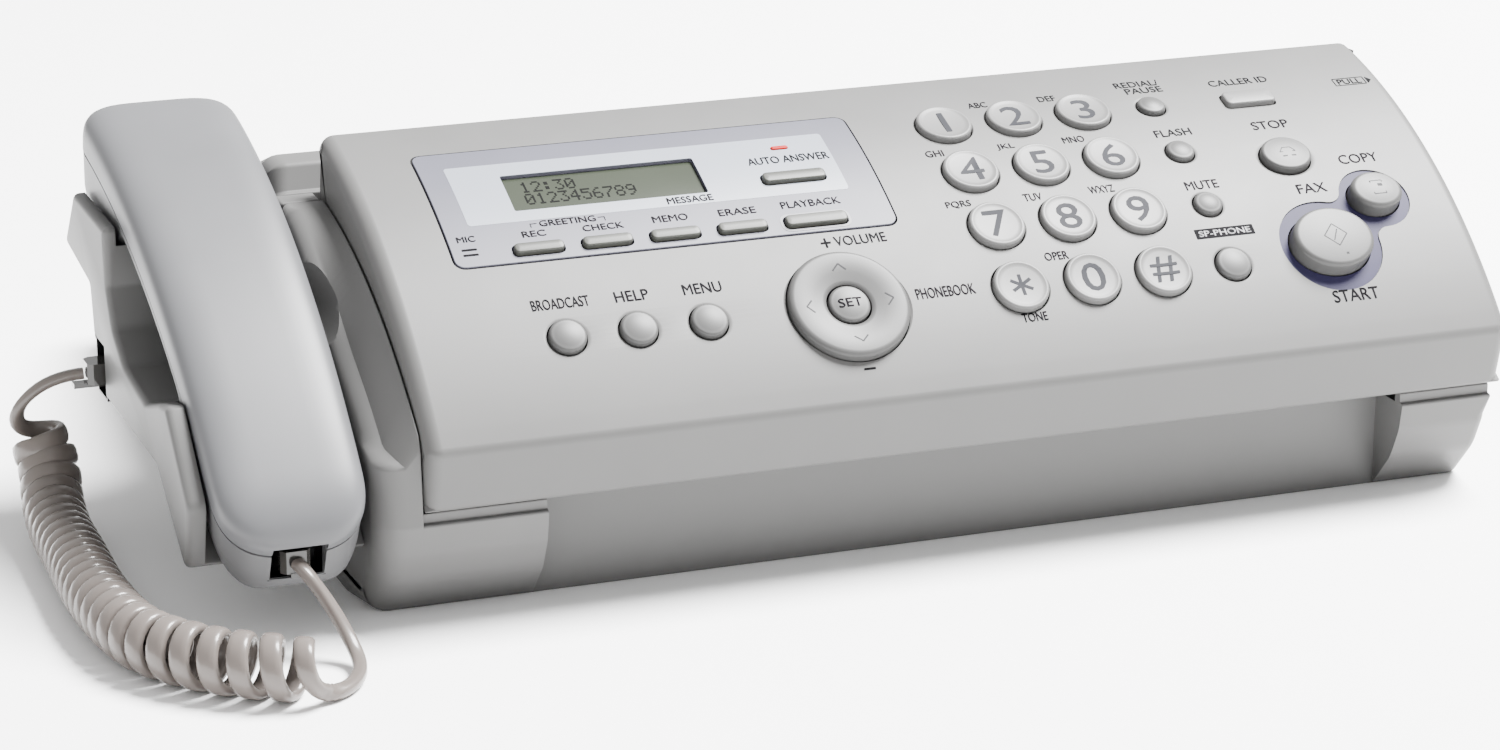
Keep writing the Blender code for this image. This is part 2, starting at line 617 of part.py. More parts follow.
def make_mechanism():
    sensor = box((-79.0, 141.0), (-78.5, -61.5), (54.6, 67.4))
    add_object("image_sensor", sensor, material("sensor", (0.06, 0.06, 0.07), 0.4))
    film = material("thermal_film", (0.02, 0.02, 0.03), 0.25)
    turning = (
        ("document_feed_roller", (-70.0, 74.0), FEED_ROLLER, 16, rubber()),
        ("platen_roller", (-78.0, 38.0), PLATEN, 16, rubber()),
        ("pickup_roller", (0.0, 50.0), PICKUP, 16, rubber()),
        ("film_supply_spool", (-42.0, 62.0), spool_rings(15.0), 16, film),
        ("film_takeup_spool", (-104.5, 43.0), spool_rings(9.5), 16, film),
        ("motor_pinion", MOTOR_CENTRE, PINION, 12, steel()),
        ("idler_gear", IDLER_CENTRE, IDLER, 24, gear_plastic()),
    )
    for name, centre, rings, sides, finish in turning:
        add_object(name, turned_x(rings, centre, sides), finish, (0, *centre))
    add_object("drive_motor", turned_x(MOTOR, MOTOR_CENTRE, 20), steel())
    add_object("thermal_head", box((-81, 143), (-88, -68), (24.0, 29.6)), steel())
    add_object("main_board", box((-110, 110), (50, 128), (8.0, 9.6)), circuit_board())
    speaker = Matrix.Translation((-92.0, 10.0, 3.2))
    rings = [(27, 0), (28, 1), (28, 3), (15, 13), (15, 22), (13, 23)]
    add_object("loudspeaker", disc_stack(rings, 24, 1, None, speaker), steel())


def make_plug(name, centre, forward, width, length, lever_side, lever_tail):
    """A modular plug: a small block with a lead-in at its back and a latch lever on one side, which sticks
    out past the back by its tail."""
    side = Vector((0, 0, 1)).cross(forward).normalized()
    up = forward.cross(side)
    turn = Matrix((side, forward, up)).transposed().to_4x4()
    place = Matrix.Translation(centre) @ turn
    half = width / 2
    outline = [(half, 0), (half, length), (-half, length), (-half, 0), (-2.6, -1.5), (2.6, -1.5)]
    bm = plate(outline, -2.9, 2.9, place)
    made = add_object(name, bm, material("clear_plug", (0.5, 0.5, 0.48), 0.1), centre)
    lever_profile = [(-1.6, -lever_tail), (1.6, -lever_tail), (1.6, length - 2), (-1.6, length - 2)]
    low, high = sorted((2.7 * lever_side, 4.0 * lever_side))
    lever = add_object(f"{name}_lever", plate(lever_profile, low, high, place), None)
    cut(made, (lever,), "UNION")


def tube_curve(name, points, radius, finish, resolution=2):
    curve = bpy.data.curves.new(name, "CURVE")
    curve.dimensions = "3D"
    curve.bevel_depth = radius * MM
    curve.bevel_resolution = resolution
    curve.use_fill_caps = True
    spline = curve.splines.new("POLY")
    spline.points.add(len(points) - 1)
    for point, place in zip(spline.points, points):
        point.co = (*(Vector(place) * MM), 1.0)
    curve.materials.append(finish)
    made = bpy.data.objects.new(name, curve)
    bpy.context.scene.collection.objects.link(made)
    return made


def smooth_route(points, spacing):
    """Points at an even spacing along a Catmull-Rom curve through the route's own points."""
    knots = [Vector(point) for point in points]
    knots = [2 * knots[0] - knots[1]] + knots + [2 * knots[-1] - knots[-2]]
    fine = []
    for a, b, c, d in zip(knots, knots[1:], knots[2:], knots[3:]):
        for step in range(24):
            t = step / 24
            middle = (2 * b) + (c - a) * t + (2 * a - 5 * b + 4 * c - d) * t * t
            fine.append(0.5 * (middle + (3 * b - a - 3 * c + d) * t**3))
    fine.append(knots[-2])
    total = sum((b - a).length for a, b in zip(fine, fine[1:]))
    count = max(2, round(total / spacing))
    result = [fine[0]]
    walked = 0.0
    for a, b in zip(fine, fine[1:]):
        step = (b - a).length
        while len(result) < count and walked + step >= total * len(result) / count:
            share = (total * len(result) / count - walked) / step
            result.append(a.lerp(b, share))
        walked += step
    return result + [fine[-1]]


BASE_TAIL = (
    (-188.2, -27.2, 43.6),
    (-192.0, -26.8, 43.4),
    (-198.0, -25.6, 41.8),
    (-204.0, -24.0, 38.0),
    (-207.8, -22.6, 33.6),
    (-208.6, -21.0, 31.4),
)
COIL_ROUTE = (
    (-200.6, -23.6, 28.6),
    (-199.6, -25.0, 23.4),
    (-199.0, -29.0, 17.5),
    (-200.2, -38.0, 11.5),
    (-201.2, -52.0, 8.8),
    (-201.8, -73.0, 8.6),
    (-202.6, -106.0, 8.6),
    (-199.4, -134.0, 8.6),
    (-190.4, -151.0, 8.6),
    (-178.0, -163.0, 8.6),
    (-163.5, -171.5, 8.6),
)
HANDSET_TAIL = (
    (-158.5, -137.3, 22.3),
    (-158.1, -140.0, 21.4),
    (-156.0, -143.0, 17.8),
    (-152.2, -144.6, 11.2),
    (-148.6, -147.0, 5.4),
    (-147.4, -152.0, 2.6),
    (-149.2, -161.0, 2.0),
    (-152.8, -169.6, 2.0),
    (-156.6, -175.0, 2.2),
)


def make_cord():
    tube_curve("cord_base_tail", smooth_route(BASE_TAIL, 5.0), TAIL_RADIUS, cord_plastic())
    tube_curve("cord_coil", smooth_route(COIL_ROUTE, 9.0), COIL_RADIUS, cord_plastic(), 3)
    tube_curve("cord_handset_tail", smooth_route(HANDSET_TAIL, 5.0), TAIL_RADIUS, cord_plastic())
    make_plug("base_plug", Vector((-186.2, -27.2, 43.9)), Vector((1, 0, 0)), 7.7, 11.0, -1, 5.0)
    make_plug("handset_plug", Vector((HANDSET_X, -132.6, 22.6)), Vector((0, 1, 0)), 7.7, 8.0, -1, 1.8)


def main():
    for old in list(bpy.data.objects):
        bpy.data.objects.remove(old, do_unlink=True)
    make_base()
    make_bottom_plate()
    make_front_cover()
    make_bezel()
    make_panel_inside()
    make_keys(key_table() + bezel_key_table())
    make_navigator_key()
    make_back_cover()
    make_cradle()
    make_handset()
    make_mechanism()
    make_cord()


main()
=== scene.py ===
"""Looks for the fax machine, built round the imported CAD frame.

Shapes are worked out in millimetres, in the frame's own axes (+X right, +Y back, +Z up), and turned into
metres where a mesh is made.
"""

import math

import bmesh
import bpy
from mathutils import Matrix, Vector


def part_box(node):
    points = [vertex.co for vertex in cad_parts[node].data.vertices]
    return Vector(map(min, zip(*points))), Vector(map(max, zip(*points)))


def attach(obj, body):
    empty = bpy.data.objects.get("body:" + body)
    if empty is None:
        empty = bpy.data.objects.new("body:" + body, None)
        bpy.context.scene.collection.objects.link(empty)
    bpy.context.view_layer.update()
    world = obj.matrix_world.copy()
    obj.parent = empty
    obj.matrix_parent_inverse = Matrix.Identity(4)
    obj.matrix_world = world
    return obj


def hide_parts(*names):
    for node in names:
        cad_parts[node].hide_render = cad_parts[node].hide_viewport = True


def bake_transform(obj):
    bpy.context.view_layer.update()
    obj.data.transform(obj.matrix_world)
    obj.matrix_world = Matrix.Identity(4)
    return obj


MM = 0.001

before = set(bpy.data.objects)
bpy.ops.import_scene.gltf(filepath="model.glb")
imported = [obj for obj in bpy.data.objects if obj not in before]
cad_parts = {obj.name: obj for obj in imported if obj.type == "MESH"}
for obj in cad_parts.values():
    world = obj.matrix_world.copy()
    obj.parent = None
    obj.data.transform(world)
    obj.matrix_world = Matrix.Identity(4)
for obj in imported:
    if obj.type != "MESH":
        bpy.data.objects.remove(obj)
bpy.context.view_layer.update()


def corners(node):
    """A CAD node's lowest and highest corner, in millimetres."""
    low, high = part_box(node)
    return low / MM, high / MM


COVER_LOW, COVER_HIGH = corners("front_cover")
BASE_LOW, BASE_HIGH = corners("base_cabinet")
CRADLE_LOW, CRADLE_HIGH = corners("handset_cradle")

# The operation panel is part of a cylinder whose axis lies along X. Angles lean forward from the top.
PANEL_RADIUS = 176.7
PANEL_AXIS_Y = -2.1
PANEL_AXIS_Z = -66.6
PANEL_BACK_ANGLE = 11.7
PANEL_FRONT_ANGLE = 49.8
LIP = (-132.8, 30.6)
COVER_WALL = 2.5

KEY_COLUMNS = (45.4, 66.4, 87.4)
SIDE_COLUMN = 108.4
KEY_ROWS = (20.35, 27.05, 33.75, 40.45)
KEY_HOLE_GAP = 0.45
KEY_DEPTH = 4.2
KEY_SLOT_DEPTH = 8.0
LETTER_DEPTH = 0.06
MARK_DEPTH = 0.05

BEZEL_X = (-104.7, 19.1)
BEZEL_ANGLES = (17.2, 32.45)
BEZEL_TOP = 0.25
BEZEL_CORNER = 3.2
INLAY_X = (-97.2, 9.4)
INLAY_ANGLES = (19.7, 27.6)
WINDOW_X = (-83.3, -29.4)
WINDOW_ANGLES = (21.5, 26.3)
LAMP_PLACE = (-4.0, 21.3)
LAMP_HOLE = (*LAMP_PLACE, 2.1, 0.32)

RECESS_X = (-91.9, 153.5)
RECESS_Y = -117.5
BASE_WALL = 2.5
INSIDE_LEFT = -122.5
SHOULDER_RIGHT = -125.0
SHOULDER_RADIUS = 162.1
SHOULDER_AXIS = (-22.7, -71.0)
SHOULDER_BACK_Y = -43.6
SCOOP_RADIUS = 27.0
SCOOP_STRETCH = 1.26
SCOOP_CENTRE = (-156.4, -88.5, 82.0)
PARTING_FRONT = (-36.0, 82.0)
PARTING_REAR = (137.0, 30.0)

HANDSET_X = -158.1
HANDSET_START = (12.0, 98.0)
HANDSET_SLOPE = math.radians(6.0)
HANDSET_CURVE = math.radians(0.242)
HANDSET_LENGTH = 168.0
HANDSET_HALF_REAR = 21.6
HANDSET_HALF_FRONT = 19.4
SEAT_GAP = 0.8

CAMERA_PLACE = (-0.4075, -1.1143, 0.3930)
CAMERA_TURN = (72.27, 0.0, -20.66)
CAMERA_LENS = 103.06
CAMERA_SENSOR = 36.0
LIGHT_PLACE = (1.0, 0.05, 1.9)
LIGHT_AIM = (0.0, -0.05, 0.05)
LIGHT_SIZE = 1.1
LIGHT_POWER = 400.0
SKY_STRENGTH = 1.05
FLOOR_HALF = 4000.0


# ---------------------------------------------------------------- materials


def add_node(nodes, kind, **values):
    """A shader node with its inputs set. An underscore stands for the space in an input's name."""
    made = nodes.new("ShaderNode" + kind)
    for socket, value in values.items():
        made.inputs[socket.replace("_", " ")].default_value = value
    return made


def plastic(
    name, colour, roughness, variation=0.03, grain=0.00002, grain_size=2600.0, coat=0.0, shine=0.3
):
    """Moulded plastic: a faint cloudiness in its colour, uneven gloss, and a fine spark-eroded grain."""
    made = bpy.data.materials.new(name)
    made.use_nodes = True
    nodes, links = made.node_tree.nodes, made.node_tree.links
    shader = nodes["Principled BSDF"]
    shader.inputs["Specular IOR Level"].default_value = shine
    shader.inputs["Coat Weight"].default_value = coat
    cloud = add_node(nodes, "TexNoise", Scale=45.0, Detail=4.0)
    fine = add_node(nodes, "TexNoise", Scale=grain_size, Detail=2.0)
    gloss = add_node(nodes, "MapRange", To_Min=roughness * 0.9, To_Max=min(1.0, roughness * 1.12))
    bump = add_node(nodes, "Bump", Strength=0.5, Distance=grain)
    ramp = add_node(nodes, "ValToRGB")
    shares = (1 - variation, 1 + variation)
    for stop, position, share in zip(ramp.color_ramp.elements, (0.3, 0.7), shares):
        stop.position = position
        stop.color = (*(min(1.0, c * share) for c in colour), 1.0)
    place = add_node(nodes, "TexCoord").outputs["Object"]
    links.new(place, cloud.inputs["Vector"])
    links.new(place, fine.inputs["Vector"])
    links.new(cloud.outputs["Fac"], ramp.inputs["Fac"])
    links.new(ramp.outputs["Color"], shader.inputs["Base Color"])
    links.new(cloud.outputs["Fac"], gloss.inputs["Value"])
    links.new(gloss.outputs["Result"], shader.inputs["Roughness"])
    links.new(fine.outputs["Fac"], bump.inputs["Height"])
    links.new(bump.outputs["Normal"], shader.inputs["Normal"])
    return made


def metal(name, colour, roughness):
    made = plastic(name, colour, roughness, 0.06, 0.00001, 1800.0)
    made.node_tree.nodes["Principled BSDF"].inputs["Metallic"].default_value = 1.0
    return made


CASING = plastic("casing_plastic", (0.0945, 0.0934, 0.0918), 0.46)
KEY = plastic("key_plastic", (0.12, 0.1187, 0.117), 0.4, 0.02, 0.00001)
FUNCTION_KEY = plastic("function_key_plastic", (0.06, 0.0595, 0.0587), 0.42, 0.02, 0.00001)
SMALL_KEY = plastic("small_key_plastic", (0.042, 0.043, 0.037), 0.4, 0.04, 0.00001)
BEZEL = plastic("bezel_plastic", (0.08, 0.08, 0.103), 0.42, 0.02, 0.00001)
INLAY = plastic("inlay_film", (0.24, 0.257, 0.294), 0.3, 0.015, 0.000004, 900.0, 0.1)
LCD = plastic("lcd_glass", (0.029, 0.0345, 0.024), 0.16, 0.03, 0.000003, 400.0, 0.2)
LCD_EDGE = plastic("lcd_frame", (0.0145, 0.0152, 0.0145), 0.5)
DOTS = plastic("lcd_dots", (0.0018, 0.0022, 0.0018), 0.6, shine=0.05)
# Ink for the printing; the same dark also paints the shade of the microphone slots.
INK_AND_SLOT_SHADE = plastic("printed_ink_and_slot_shade", (0.0034, 0.0034, 0.0042), 0.7, 0.08, 0.000004, shine=0.05)
WHITE_INK = plastic("white_ink", (0.19, 0.19, 0.2), 0.45, 0.02, 0.000004)
DIGIT_INK = plastic("digit_ink", (0.017, 0.0178, 0.022), 0.6, 0.05, 0.000004, shine=0.1)
PALE_INK = plastic("pale_mark", (0.034, 0.034, 0.036), 0.6, 0.03, 0.000004, shine=0.1)
DISH = plastic("purple_inlay", (0.022, 0.0193, 0.05), 0.5, 0.04, 0.00001, shine=0.12)
LAMP = plastic("red_lamp", (0.30, 0.004, 0.002), 0.5, 0.05, 0.000004, 900.0, 0.0, 0.1)
HANDSET = plastic("handset_plastic", (0.095, 0.096, 0.1005), 0.4, 0.02, 0.000012)
# Painted shade: the handset plastic made a little darker for the lower shell, whose side faces away from the
# key light.
HANDSET_UNDER_SHADED = plastic("handset_under_painted_shade", (0.09, 0.09, 0.092), 0.42, 0.02, 0.000012)
CORD = plastic("cord_vinyl", (0.118, 0.1015, 0.092), 0.26, 0.05, 0.00002, 700.0, 0.15)
# Painted shade: a near-black that lines the cord sockets, standing in for the darkness inside them.
SOCKET_SHADE = plastic("socket_painted_shade", (0.002, 0.002, 0.0022), 0.35)
CLEAR = plastic("plug_plastic", (0.034, 0.0325, 0.0305), 0.1, 0.08, 0.000005, 700.0, 0.3)
BOARD = plastic("board_mask", (0.013, 0.0695, 0.026), 0.4, 0.15, 0.00002, 500.0)
RUBBER = plastic("roller_rubber", (0.0095, 0.0095, 0.01), 0.7, 0.2, 0.00003, 1500.0)
FILM = plastic("transfer_film", (0.0087, 0.0087, 0.0104), 0.22, 0.2, 0.00001, 900.0)
GEAR = plastic("gear_nylon", (0.286, 0.274, 0.239), 0.45, 0.04)
BLACK = plastic("black_plastic", (0.013, 0.013, 0.0139), 0.45, 0.1)
STEEL = metal("zinc_steel", (0.58, 0.58, 0.6), 0.34)


# ---------------------------------------------------------------- meshes and shapes


def make_object(name, bm, finish, smooth=32):
    """One object from a bmesh in millimetres. finish is a material, or a list of them."""
    bmesh.ops.recalc_face_normals(bm, faces=bm.faces)
    bmesh.ops.scale(bm, vec=(MM, MM, MM), verts=bm.verts)
    mesh = bpy.data.meshes.new(name)
    bm.to_mesh(mesh)
    bm.free()
    for one in finish if isinstance(finish, list) else [finish]:
        mesh.materials.append(one)
    made = show(bpy.data.objects.new(name, mesh))
    shade(made, smooth)
    return made


def show(piece):
    bpy.context.scene.collection.objects.link(piece)
    return piece


def shade(piece, smooth=32):
    piece.data.shade_smooth()
    piece.data.set_sharp_from_angle(angle=math.radians(smooth))


def carve(piece, shapes, operation="DIFFERENCE", smooth=32):
    """Cuts bmeshes from a piece, or joins them to it, one after another. A shape whose faces happen to lie in
    the piece's own can leave nothing behind, so it is then moved by a hair and used again."""
    for shape in shapes:
        cutter = make_object("cutter", shape, CASING)
        whole = piece.data.copy()
        for nudge in (0.0, 0.011, -0.017, 0.029):
            cutter.location = (nudge * MM, nudge * MM, -nudge * MM)
            change = piece.modifiers.new(cutter.name, "BOOLEAN")
            change.operation = operation
            change.solver = "EXACT"
            change.object = cutter
            apply_modifiers(piece)
            if len(piece.data.vertices) > 0.5 * len(whole.vertices):
                break
            piece.data = whole.copy()
        bpy.data.objects.remove(cutter)
    shade(piece, smooth)


def settle(piece):
    """Lets the largest faces decide how light falls, so that holes leave no streaks beside them."""
    change = piece.modifiers.new("settle", "WEIGHTED_NORMAL")
    change.keep_sharp = True
    change.weight = 80
    apply_modifiers(piece)


def apply_modifiers(piece):
    bpy.context.view_layer.update()
    graph = bpy.context.evaluated_depsgraph_get()
    done = bpy.data.meshes.new_from_object(piece.evaluated_get(graph))
    piece.modifiers.clear()
    piece.data = done


def soften(piece, width, segments, angle):
    """Rounds the sharp edges of a finished shape a little."""
    change = piece.modifiers.new("soften", "BEVEL")
    change.width = width * MM
    change.segments = segments
    change.limit_method = "ANGLE"
    change.angle_limit = math.radians(angle)
    change.use_clamp_overlap = True
    apply_modifiers(piece)
    shade(piece)


def place(piece, body, *nodes, slot):
    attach(piece, body)
    if nodes:
        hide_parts(*nodes)


def place_key(name, bm, finish):
    key = make_object(f"button_{name}", bm, finish, 40)
    place(key, f"key_{name}_body", f"key_{name}", slot="key_plastic")


def clamp(value):
    return min(1.0, max(0.0, value))


def skin(bm, loops, closed=False, index=0):
    """Joins rings of vertices, each with the same number of points, into a tube."""
    count = len(loops[0])
    following = loops[1:] + loops[:1] if closed else loops[1:]
    for near, far in zip(loops, following):
        for side in range(count):
            other = (side + 1) % count
            bm.faces.new((near[side], near[other], far[other], far[side])).material_index = index
    if not closed:
        bm.faces.new(reversed(loops[0])).material_index = index
        bm.faces.new(loops[-1]).material_index = index
    return bm


def turned(rings, matrix, sides, squash=1.0, bm=None, closed=False):
    """A turned solid from rings of (radius, height), oval where squash isn't 1."""
    bm = bm or bmesh.new()
    loops = []
    for radius, height in rings:
        points = []
        for side in range(sides):
            turn = 2 * math.pi * side / sides
            spot = (radius * math.cos(turn), squash * radius * math.sin(turn), height)
            points.append(matrix @ Vector(spot))
        loops.append([bm.verts.new(point) for point in points])
    return skin(bm, loops, closed)


def round_corners(points, steps=5):
    """A closed outline from (y, z, radius) corners, with an arc in place of each corner that has a radius."""
    outline = []
    count = len(points)
    for number, (y, z, radius) in enumerate(points):
        here = Vector((y, z))
        before = Vector(points[number - 1][:2]) - here
        after = Vector(points[(number + 1) % count][:2]) - here
        if radius <= 0:
            outline.append(here)
            continue
        half = before.angle(after) / 2
        run = min(radius / math.tan(half), 0.49 * before.length, 0.49 * after.length)
        radius = run * math.tan(half)
        middle = here + (before.normalized() + after.normalized()).normalized() * (radius / math.sin(half))
        first = here + before.normalized() * run - middle
        last = here + after.normalized() * run - middle
        sweep = first.angle(last)
        for step in range(steps + 1):
            share = step / steps
            lean = math.sin((1 - share) * sweep) * first + math.sin(share * sweep) * last
            outline.append(middle + lean / math.sin(sweep))
    return outline


def outward(outline):
    """For each point of an outline, the way out, long enough to move both its edges by 1."""
    area = sum(a.x * b.y - b.x * a.y for a, b in zip(outline, outline[1:] + outline[:1]))
    turn = 1 if area > 0 else -1
    ways = []
    for number, here in enumerate(outline):
        before = (here - outline[number - 1]).normalized()
        after = (outline[(number + 1) % len(outline)] - here).normalized()
        first = Vector((before.y, -before.x)) * turn
        second = Vector((after.y, -after.x)) * turn
        middle = (first + second).normalized()
        ways.append(middle / max(0.4, middle.dot(first)))
    return ways


def rounded_prism(outline, x_low, x_high, radius_low, radius_high, steps=5):
    """An outline in Y and Z drawn along X, with its two end edges rounded. A radius may be one number, or a
    function of the point on the outline."""
    bm = bmesh.new()
    ways = outward(outline)
    low = [radius_low(point) if callable(radius_low) else radius_low for point in outline]
    high = [radius_high(point) if callable(radius_high) else radius_high for point in outline]
    loops = []
    for end, radii, sign in ((x_low, low, 1), (x_high, high, -1)):
        rings = []
        for step in range(steps + 1):
            lean = math.radians(90 * step / steps)
            ring = []
            for point, way, radius in zip(outline, ways, radii):
                moved = point - way * radius * (1 - math.sin(lean))
                ring.append(bm.verts.new((end + sign * radius * (1 - math.cos(lean)), moved.x, moved.y)))
            rings.append(ring)
        loops += rings if sign == 1 else rings[::-1]
    return skin(bm, loops)


def box(x, y, z):
    return prism([(y[0], z[0]), (y[1], z[0]), (y[1], z[1]), (y[0], z[1])], *x)


def prism(points, x_low, x_high):
    bm = bmesh.new()
    return skin(bm, [[bm.verts.new((end, y, z)) for y, z in points] for end in (x_low, x_high)])


# ---------------------------------------------------------------- the curved panel


def arc_point(radius, degrees):
    lean = math.radians(degrees)
    return (PANEL_AXIS_Y - radius * math.sin(lean), PANEL_AXIS_Z + radius * math.cos(lean))


def wrap(x, along, height):
    """A point over the panel: along runs forward over the surface, in millimetres from the top."""
    y, z = arc_point(PANEL_RADIUS + height, math.degrees(along / PANEL_RADIUS))
    return Vector((x, y, z))


def reach(degrees):
    """How far forward an angle lies, measured over the panel's surface."""
    return math.radians(degrees) * PANEL_RADIUS


def on_panel(x, degrees):
    """Places local X along X, local Y up the panel and local Z along the panel's outward normal."""
    y, z = arc_point(PANEL_RADIUS, degrees)
    return Matrix.Translation((x, y, z)) @ Matrix.Rotation(math.radians(degrees), 4, "X")


def panel_patch(outline, low, high, slice_length=2.0, bm=None, index=0):
    """A flat outline in X and forward reach, laid over the panel as a slab between two heights."""
    flat = bmesh.new()
    flat.faces.new([flat.verts.new((x, along, 0)) for x, along in outline])
    along = min(point[1] for point in outline) + slice_length
    while along < max(point[1] for point in outline):
        everything = flat.verts[:] + flat.edges[:] + flat.faces[:]
        bmesh.ops.bisect_plane(flat, geom=everything, plane_co=(0, along, 0), plane_no=(0, 1, 0))
        along += slice_length
    flat.verts.index_update()
    bm = bm or bmesh.new()
    top = [bm.verts.new(wrap(vert.co.x, vert.co.y, high)) for vert in flat.verts]
    bottom = [bm.verts.new(wrap(vert.co.x, vert.co.y, low)) for vert in flat.verts]
    for face in flat.faces:
        numbers = [vert.index for vert in face.verts]
        bm.faces.new([top[number] for number in numbers]).material_index = index
        bm.faces.new([bottom[number] for number in reversed(numbers)]).material_index = index
    for edge in flat.edges:
        if len(edge.link_faces) == 1:
            a, b = (vert.index for vert in edge.verts)
            bm.faces.new((top[a], top[b], bottom[b], bottom[a])).material_index = index
    flat.free()
    return bm


def patch_outline(x, angles, radius, steps=5):
    """A rectangle on the panel with round corners."""
    low, high = reach(angles[0]), reach(angles[1])
    points = [(x[0], low, radius), (x[1], low, radius), (x[1], high, radius), (x[0], high, radius)]
    return [tuple(point) for point in round_corners(points, steps)]


def lettering(words, width, height, put, bm, index=0, bold=0.07, stretch=1.0):
    """Raised printing of one line of words, fitted to a width and a height, and placed by put(u, v, w).
    Without a width the words keep the proportions of the typeface, times a stretch.
    Striking it twice, a little apart, makes it bold."""
    curve = bpy.data.curves.new("words", "FONT")
    curve.body = words
    curve.extrude = 1.0
    curve.resolution_u = 3
    source = show(bpy.data.objects.new("words", curve))
    bpy.context.view_layer.update()
    mesh = bpy.data.meshes.new_from_object(source.evaluated_get(bpy.context.evaluated_depsgraph_get()))
    bpy.data.objects.remove(source)
    low = [min(vert.co[axis] for vert in mesh.vertices) for axis in range(2)]
    high = [max(vert.co[axis] for vert in mesh.vertices) for axis in range(2)]
    centre = [(a + b) / 2 for a, b in zip(low, high)]
    scale_v = height / max(high[1] - low[1], 1e-6)
    scale_u = width / max(high[0] - low[0], 1e-6) if width else scale_v * stretch
    for shift in (-bold, bold):
        verts = []
        for vert in mesh.vertices:
            u = (vert.co.x - centre[0]) * scale_u + shift
            v = (vert.co.y - centre[1]) * scale_v + shift
            verts.append(bm.verts.new(put(u, v, math.copysign(LETTER_DEPTH, vert.co.z))))
        for face in mesh.polygons:
            bm.faces.new([verts[number] for number in face.vertices]).material_index = index
    bpy.data.meshes.remove(mesh)
    return bm


# ---------------------------------------------------------------- camera, light and floor


def make_camera():
    data = bpy.data.cameras.new("camera")
    data.lens = CAMERA_LENS
    data.sensor_width = CAMERA_SENSOR
    camera = show(bpy.data.objects.new("camera", data))
    camera.location = CAMERA_PLACE
    camera.rotation_euler = [math.radians(turn) for turn in CAMERA_TURN]
    bpy.context.scene.camera = camera


def make_stage():
    bm = bmesh.new()
    bmesh.ops.create_grid(bm, x_segments=1, y_segments=1, size=FLOOR_HALF)
    floor = make_object("floor", bm, plastic("floor_paint", (0.97, 0.97, 0.97), 0.9, 0.004, 0.0, shine=0.0))
    world = bpy.data.worlds.new("studio")
    world.use_nodes = True
    sky = world.node_tree.nodes["Background"]
    sky.inputs["Color"].default_value = (1.0, 1.0, 1.0, 1.0)
    sky.inputs["Strength"].default_value = SKY_STRENGTH
    bpy.context.scene.world = world


def make_light():
    data = bpy.data.lights.new("key_light", "AREA")
    data.shape = "DISK"
    data.size = LIGHT_SIZE
    data.energy = LIGHT_POWER
    light = show(bpy.data.objects.new("key_light", data))
    light.location = LIGHT_PLACE
    light.rotation_euler = (Vector(LIGHT_AIM) - Vector(LIGHT_PLACE)).to_track_quat("-Z", "Y").to_euler()


# ---------------------------------------------------------------- the cord

BASE_TAIL = (
    (-188.2, -27.2, 43.6), (-192.0, -26.8, 43.4), (-198.0, -25.6, 41.8), (-204.0, -24.0, 38.0),
    (-207.8, -22.6, 33.6), (-208.6, -21.0, 31.4),
)
COIL_ROUTE = (
    (-200.6, -23.6, 28.6), (-199.6, -25.0, 23.4), (-199.0, -29.0, 17.5), (-200.2, -38.0, 11.5),
    (-201.2, -52.0, 8.8), (-201.8, -73.0, 8.6), (-202.6, -106.0, 8.6), (-199.4, -134.0, 8.6),
    (-190.4, -151.0, 8.6), (-178.0, -163.0, 8.6), (-163.5, -171.5, 8.6),
)
HANDSET_TAIL = (
    (-158.6, -134.7, 22.6), (-157.2, -138.6, 21.0), (-154.0, -141.4, 16.0), (-151.2, -144.8, 10.6),
    (-149.4, -148.2, 6.2), (-148.6, -152.6, 3.2), (-149.2, -158.0, 2.2), (-151.6, -164.6, 1.9),
    (-155.4, -170.4, 1.8), (-160.0, -173.8, 1.7),
)
BAND_WIDTH = 5.6
TAIL_WIDTH = 3.6
BAND_THICKNESS = 3.0
COIL_RADIUS = 8.4
TURN_POINTS = 20
TAIL_SPACING = 2.2
AXIS_STEP = 0.5
BAND_SIDES = 12
CLOSE_PITCH = 5.7
EXTRA_PITCH_AT_BASE = 0.6
EXTRA_PITCH_AT_HANDSET = 2.6


def smooth_route(points, spacing):
    """Points at an even spacing along a Catmull-Rom curve through the route's own points."""
    knots = [Vector(point) for point in points]
    knots = [2 * knots[0] - knots[1]] + knots + [2 * knots[-1] - knots[-2]]
    fine = []
    for a, b, c, d in zip(knots, knots[1:], knots[2:], knots[3:]):
        for step in range(24):
            t = step / 24
            middle = (2 * b) + (c - a) * t + (2 * a - 5 * b + 4 * c - d) * t * t
            fine.append(0.5 * (middle + (3 * b - a - 3 * c + d) * t**3))
    fine.append(knots[-2])
    total = sum((b - a).length for a, b in zip(fine, fine[1:]))
    count = max(2, round(total / spacing))
    result = [fine[0]]
    walked = 0.0
    for a, b in zip(fine, fine[1:]):
        step = (b - a).length
        while len(result) < count and walked + step >= total * len(result) / count:
            share = (total * len(result) / count - walked) / step
            result.append(a.lerp(b, share))
        walked += step
    return result + [fine[-1]]


def coil_pitch(share):
    """Close turns in the middle of the coil, opened out towards both ends."""
    near_base = max(0.0, 1 - share / 0.2)
    near_handset = max(0.0, (share - 0.6) / 0.4)
    return CLOSE_PITCH + EXTRA_PITCH_AT_BASE * near_base + EXTRA_PITCH_AT_HANDSET * near_handset


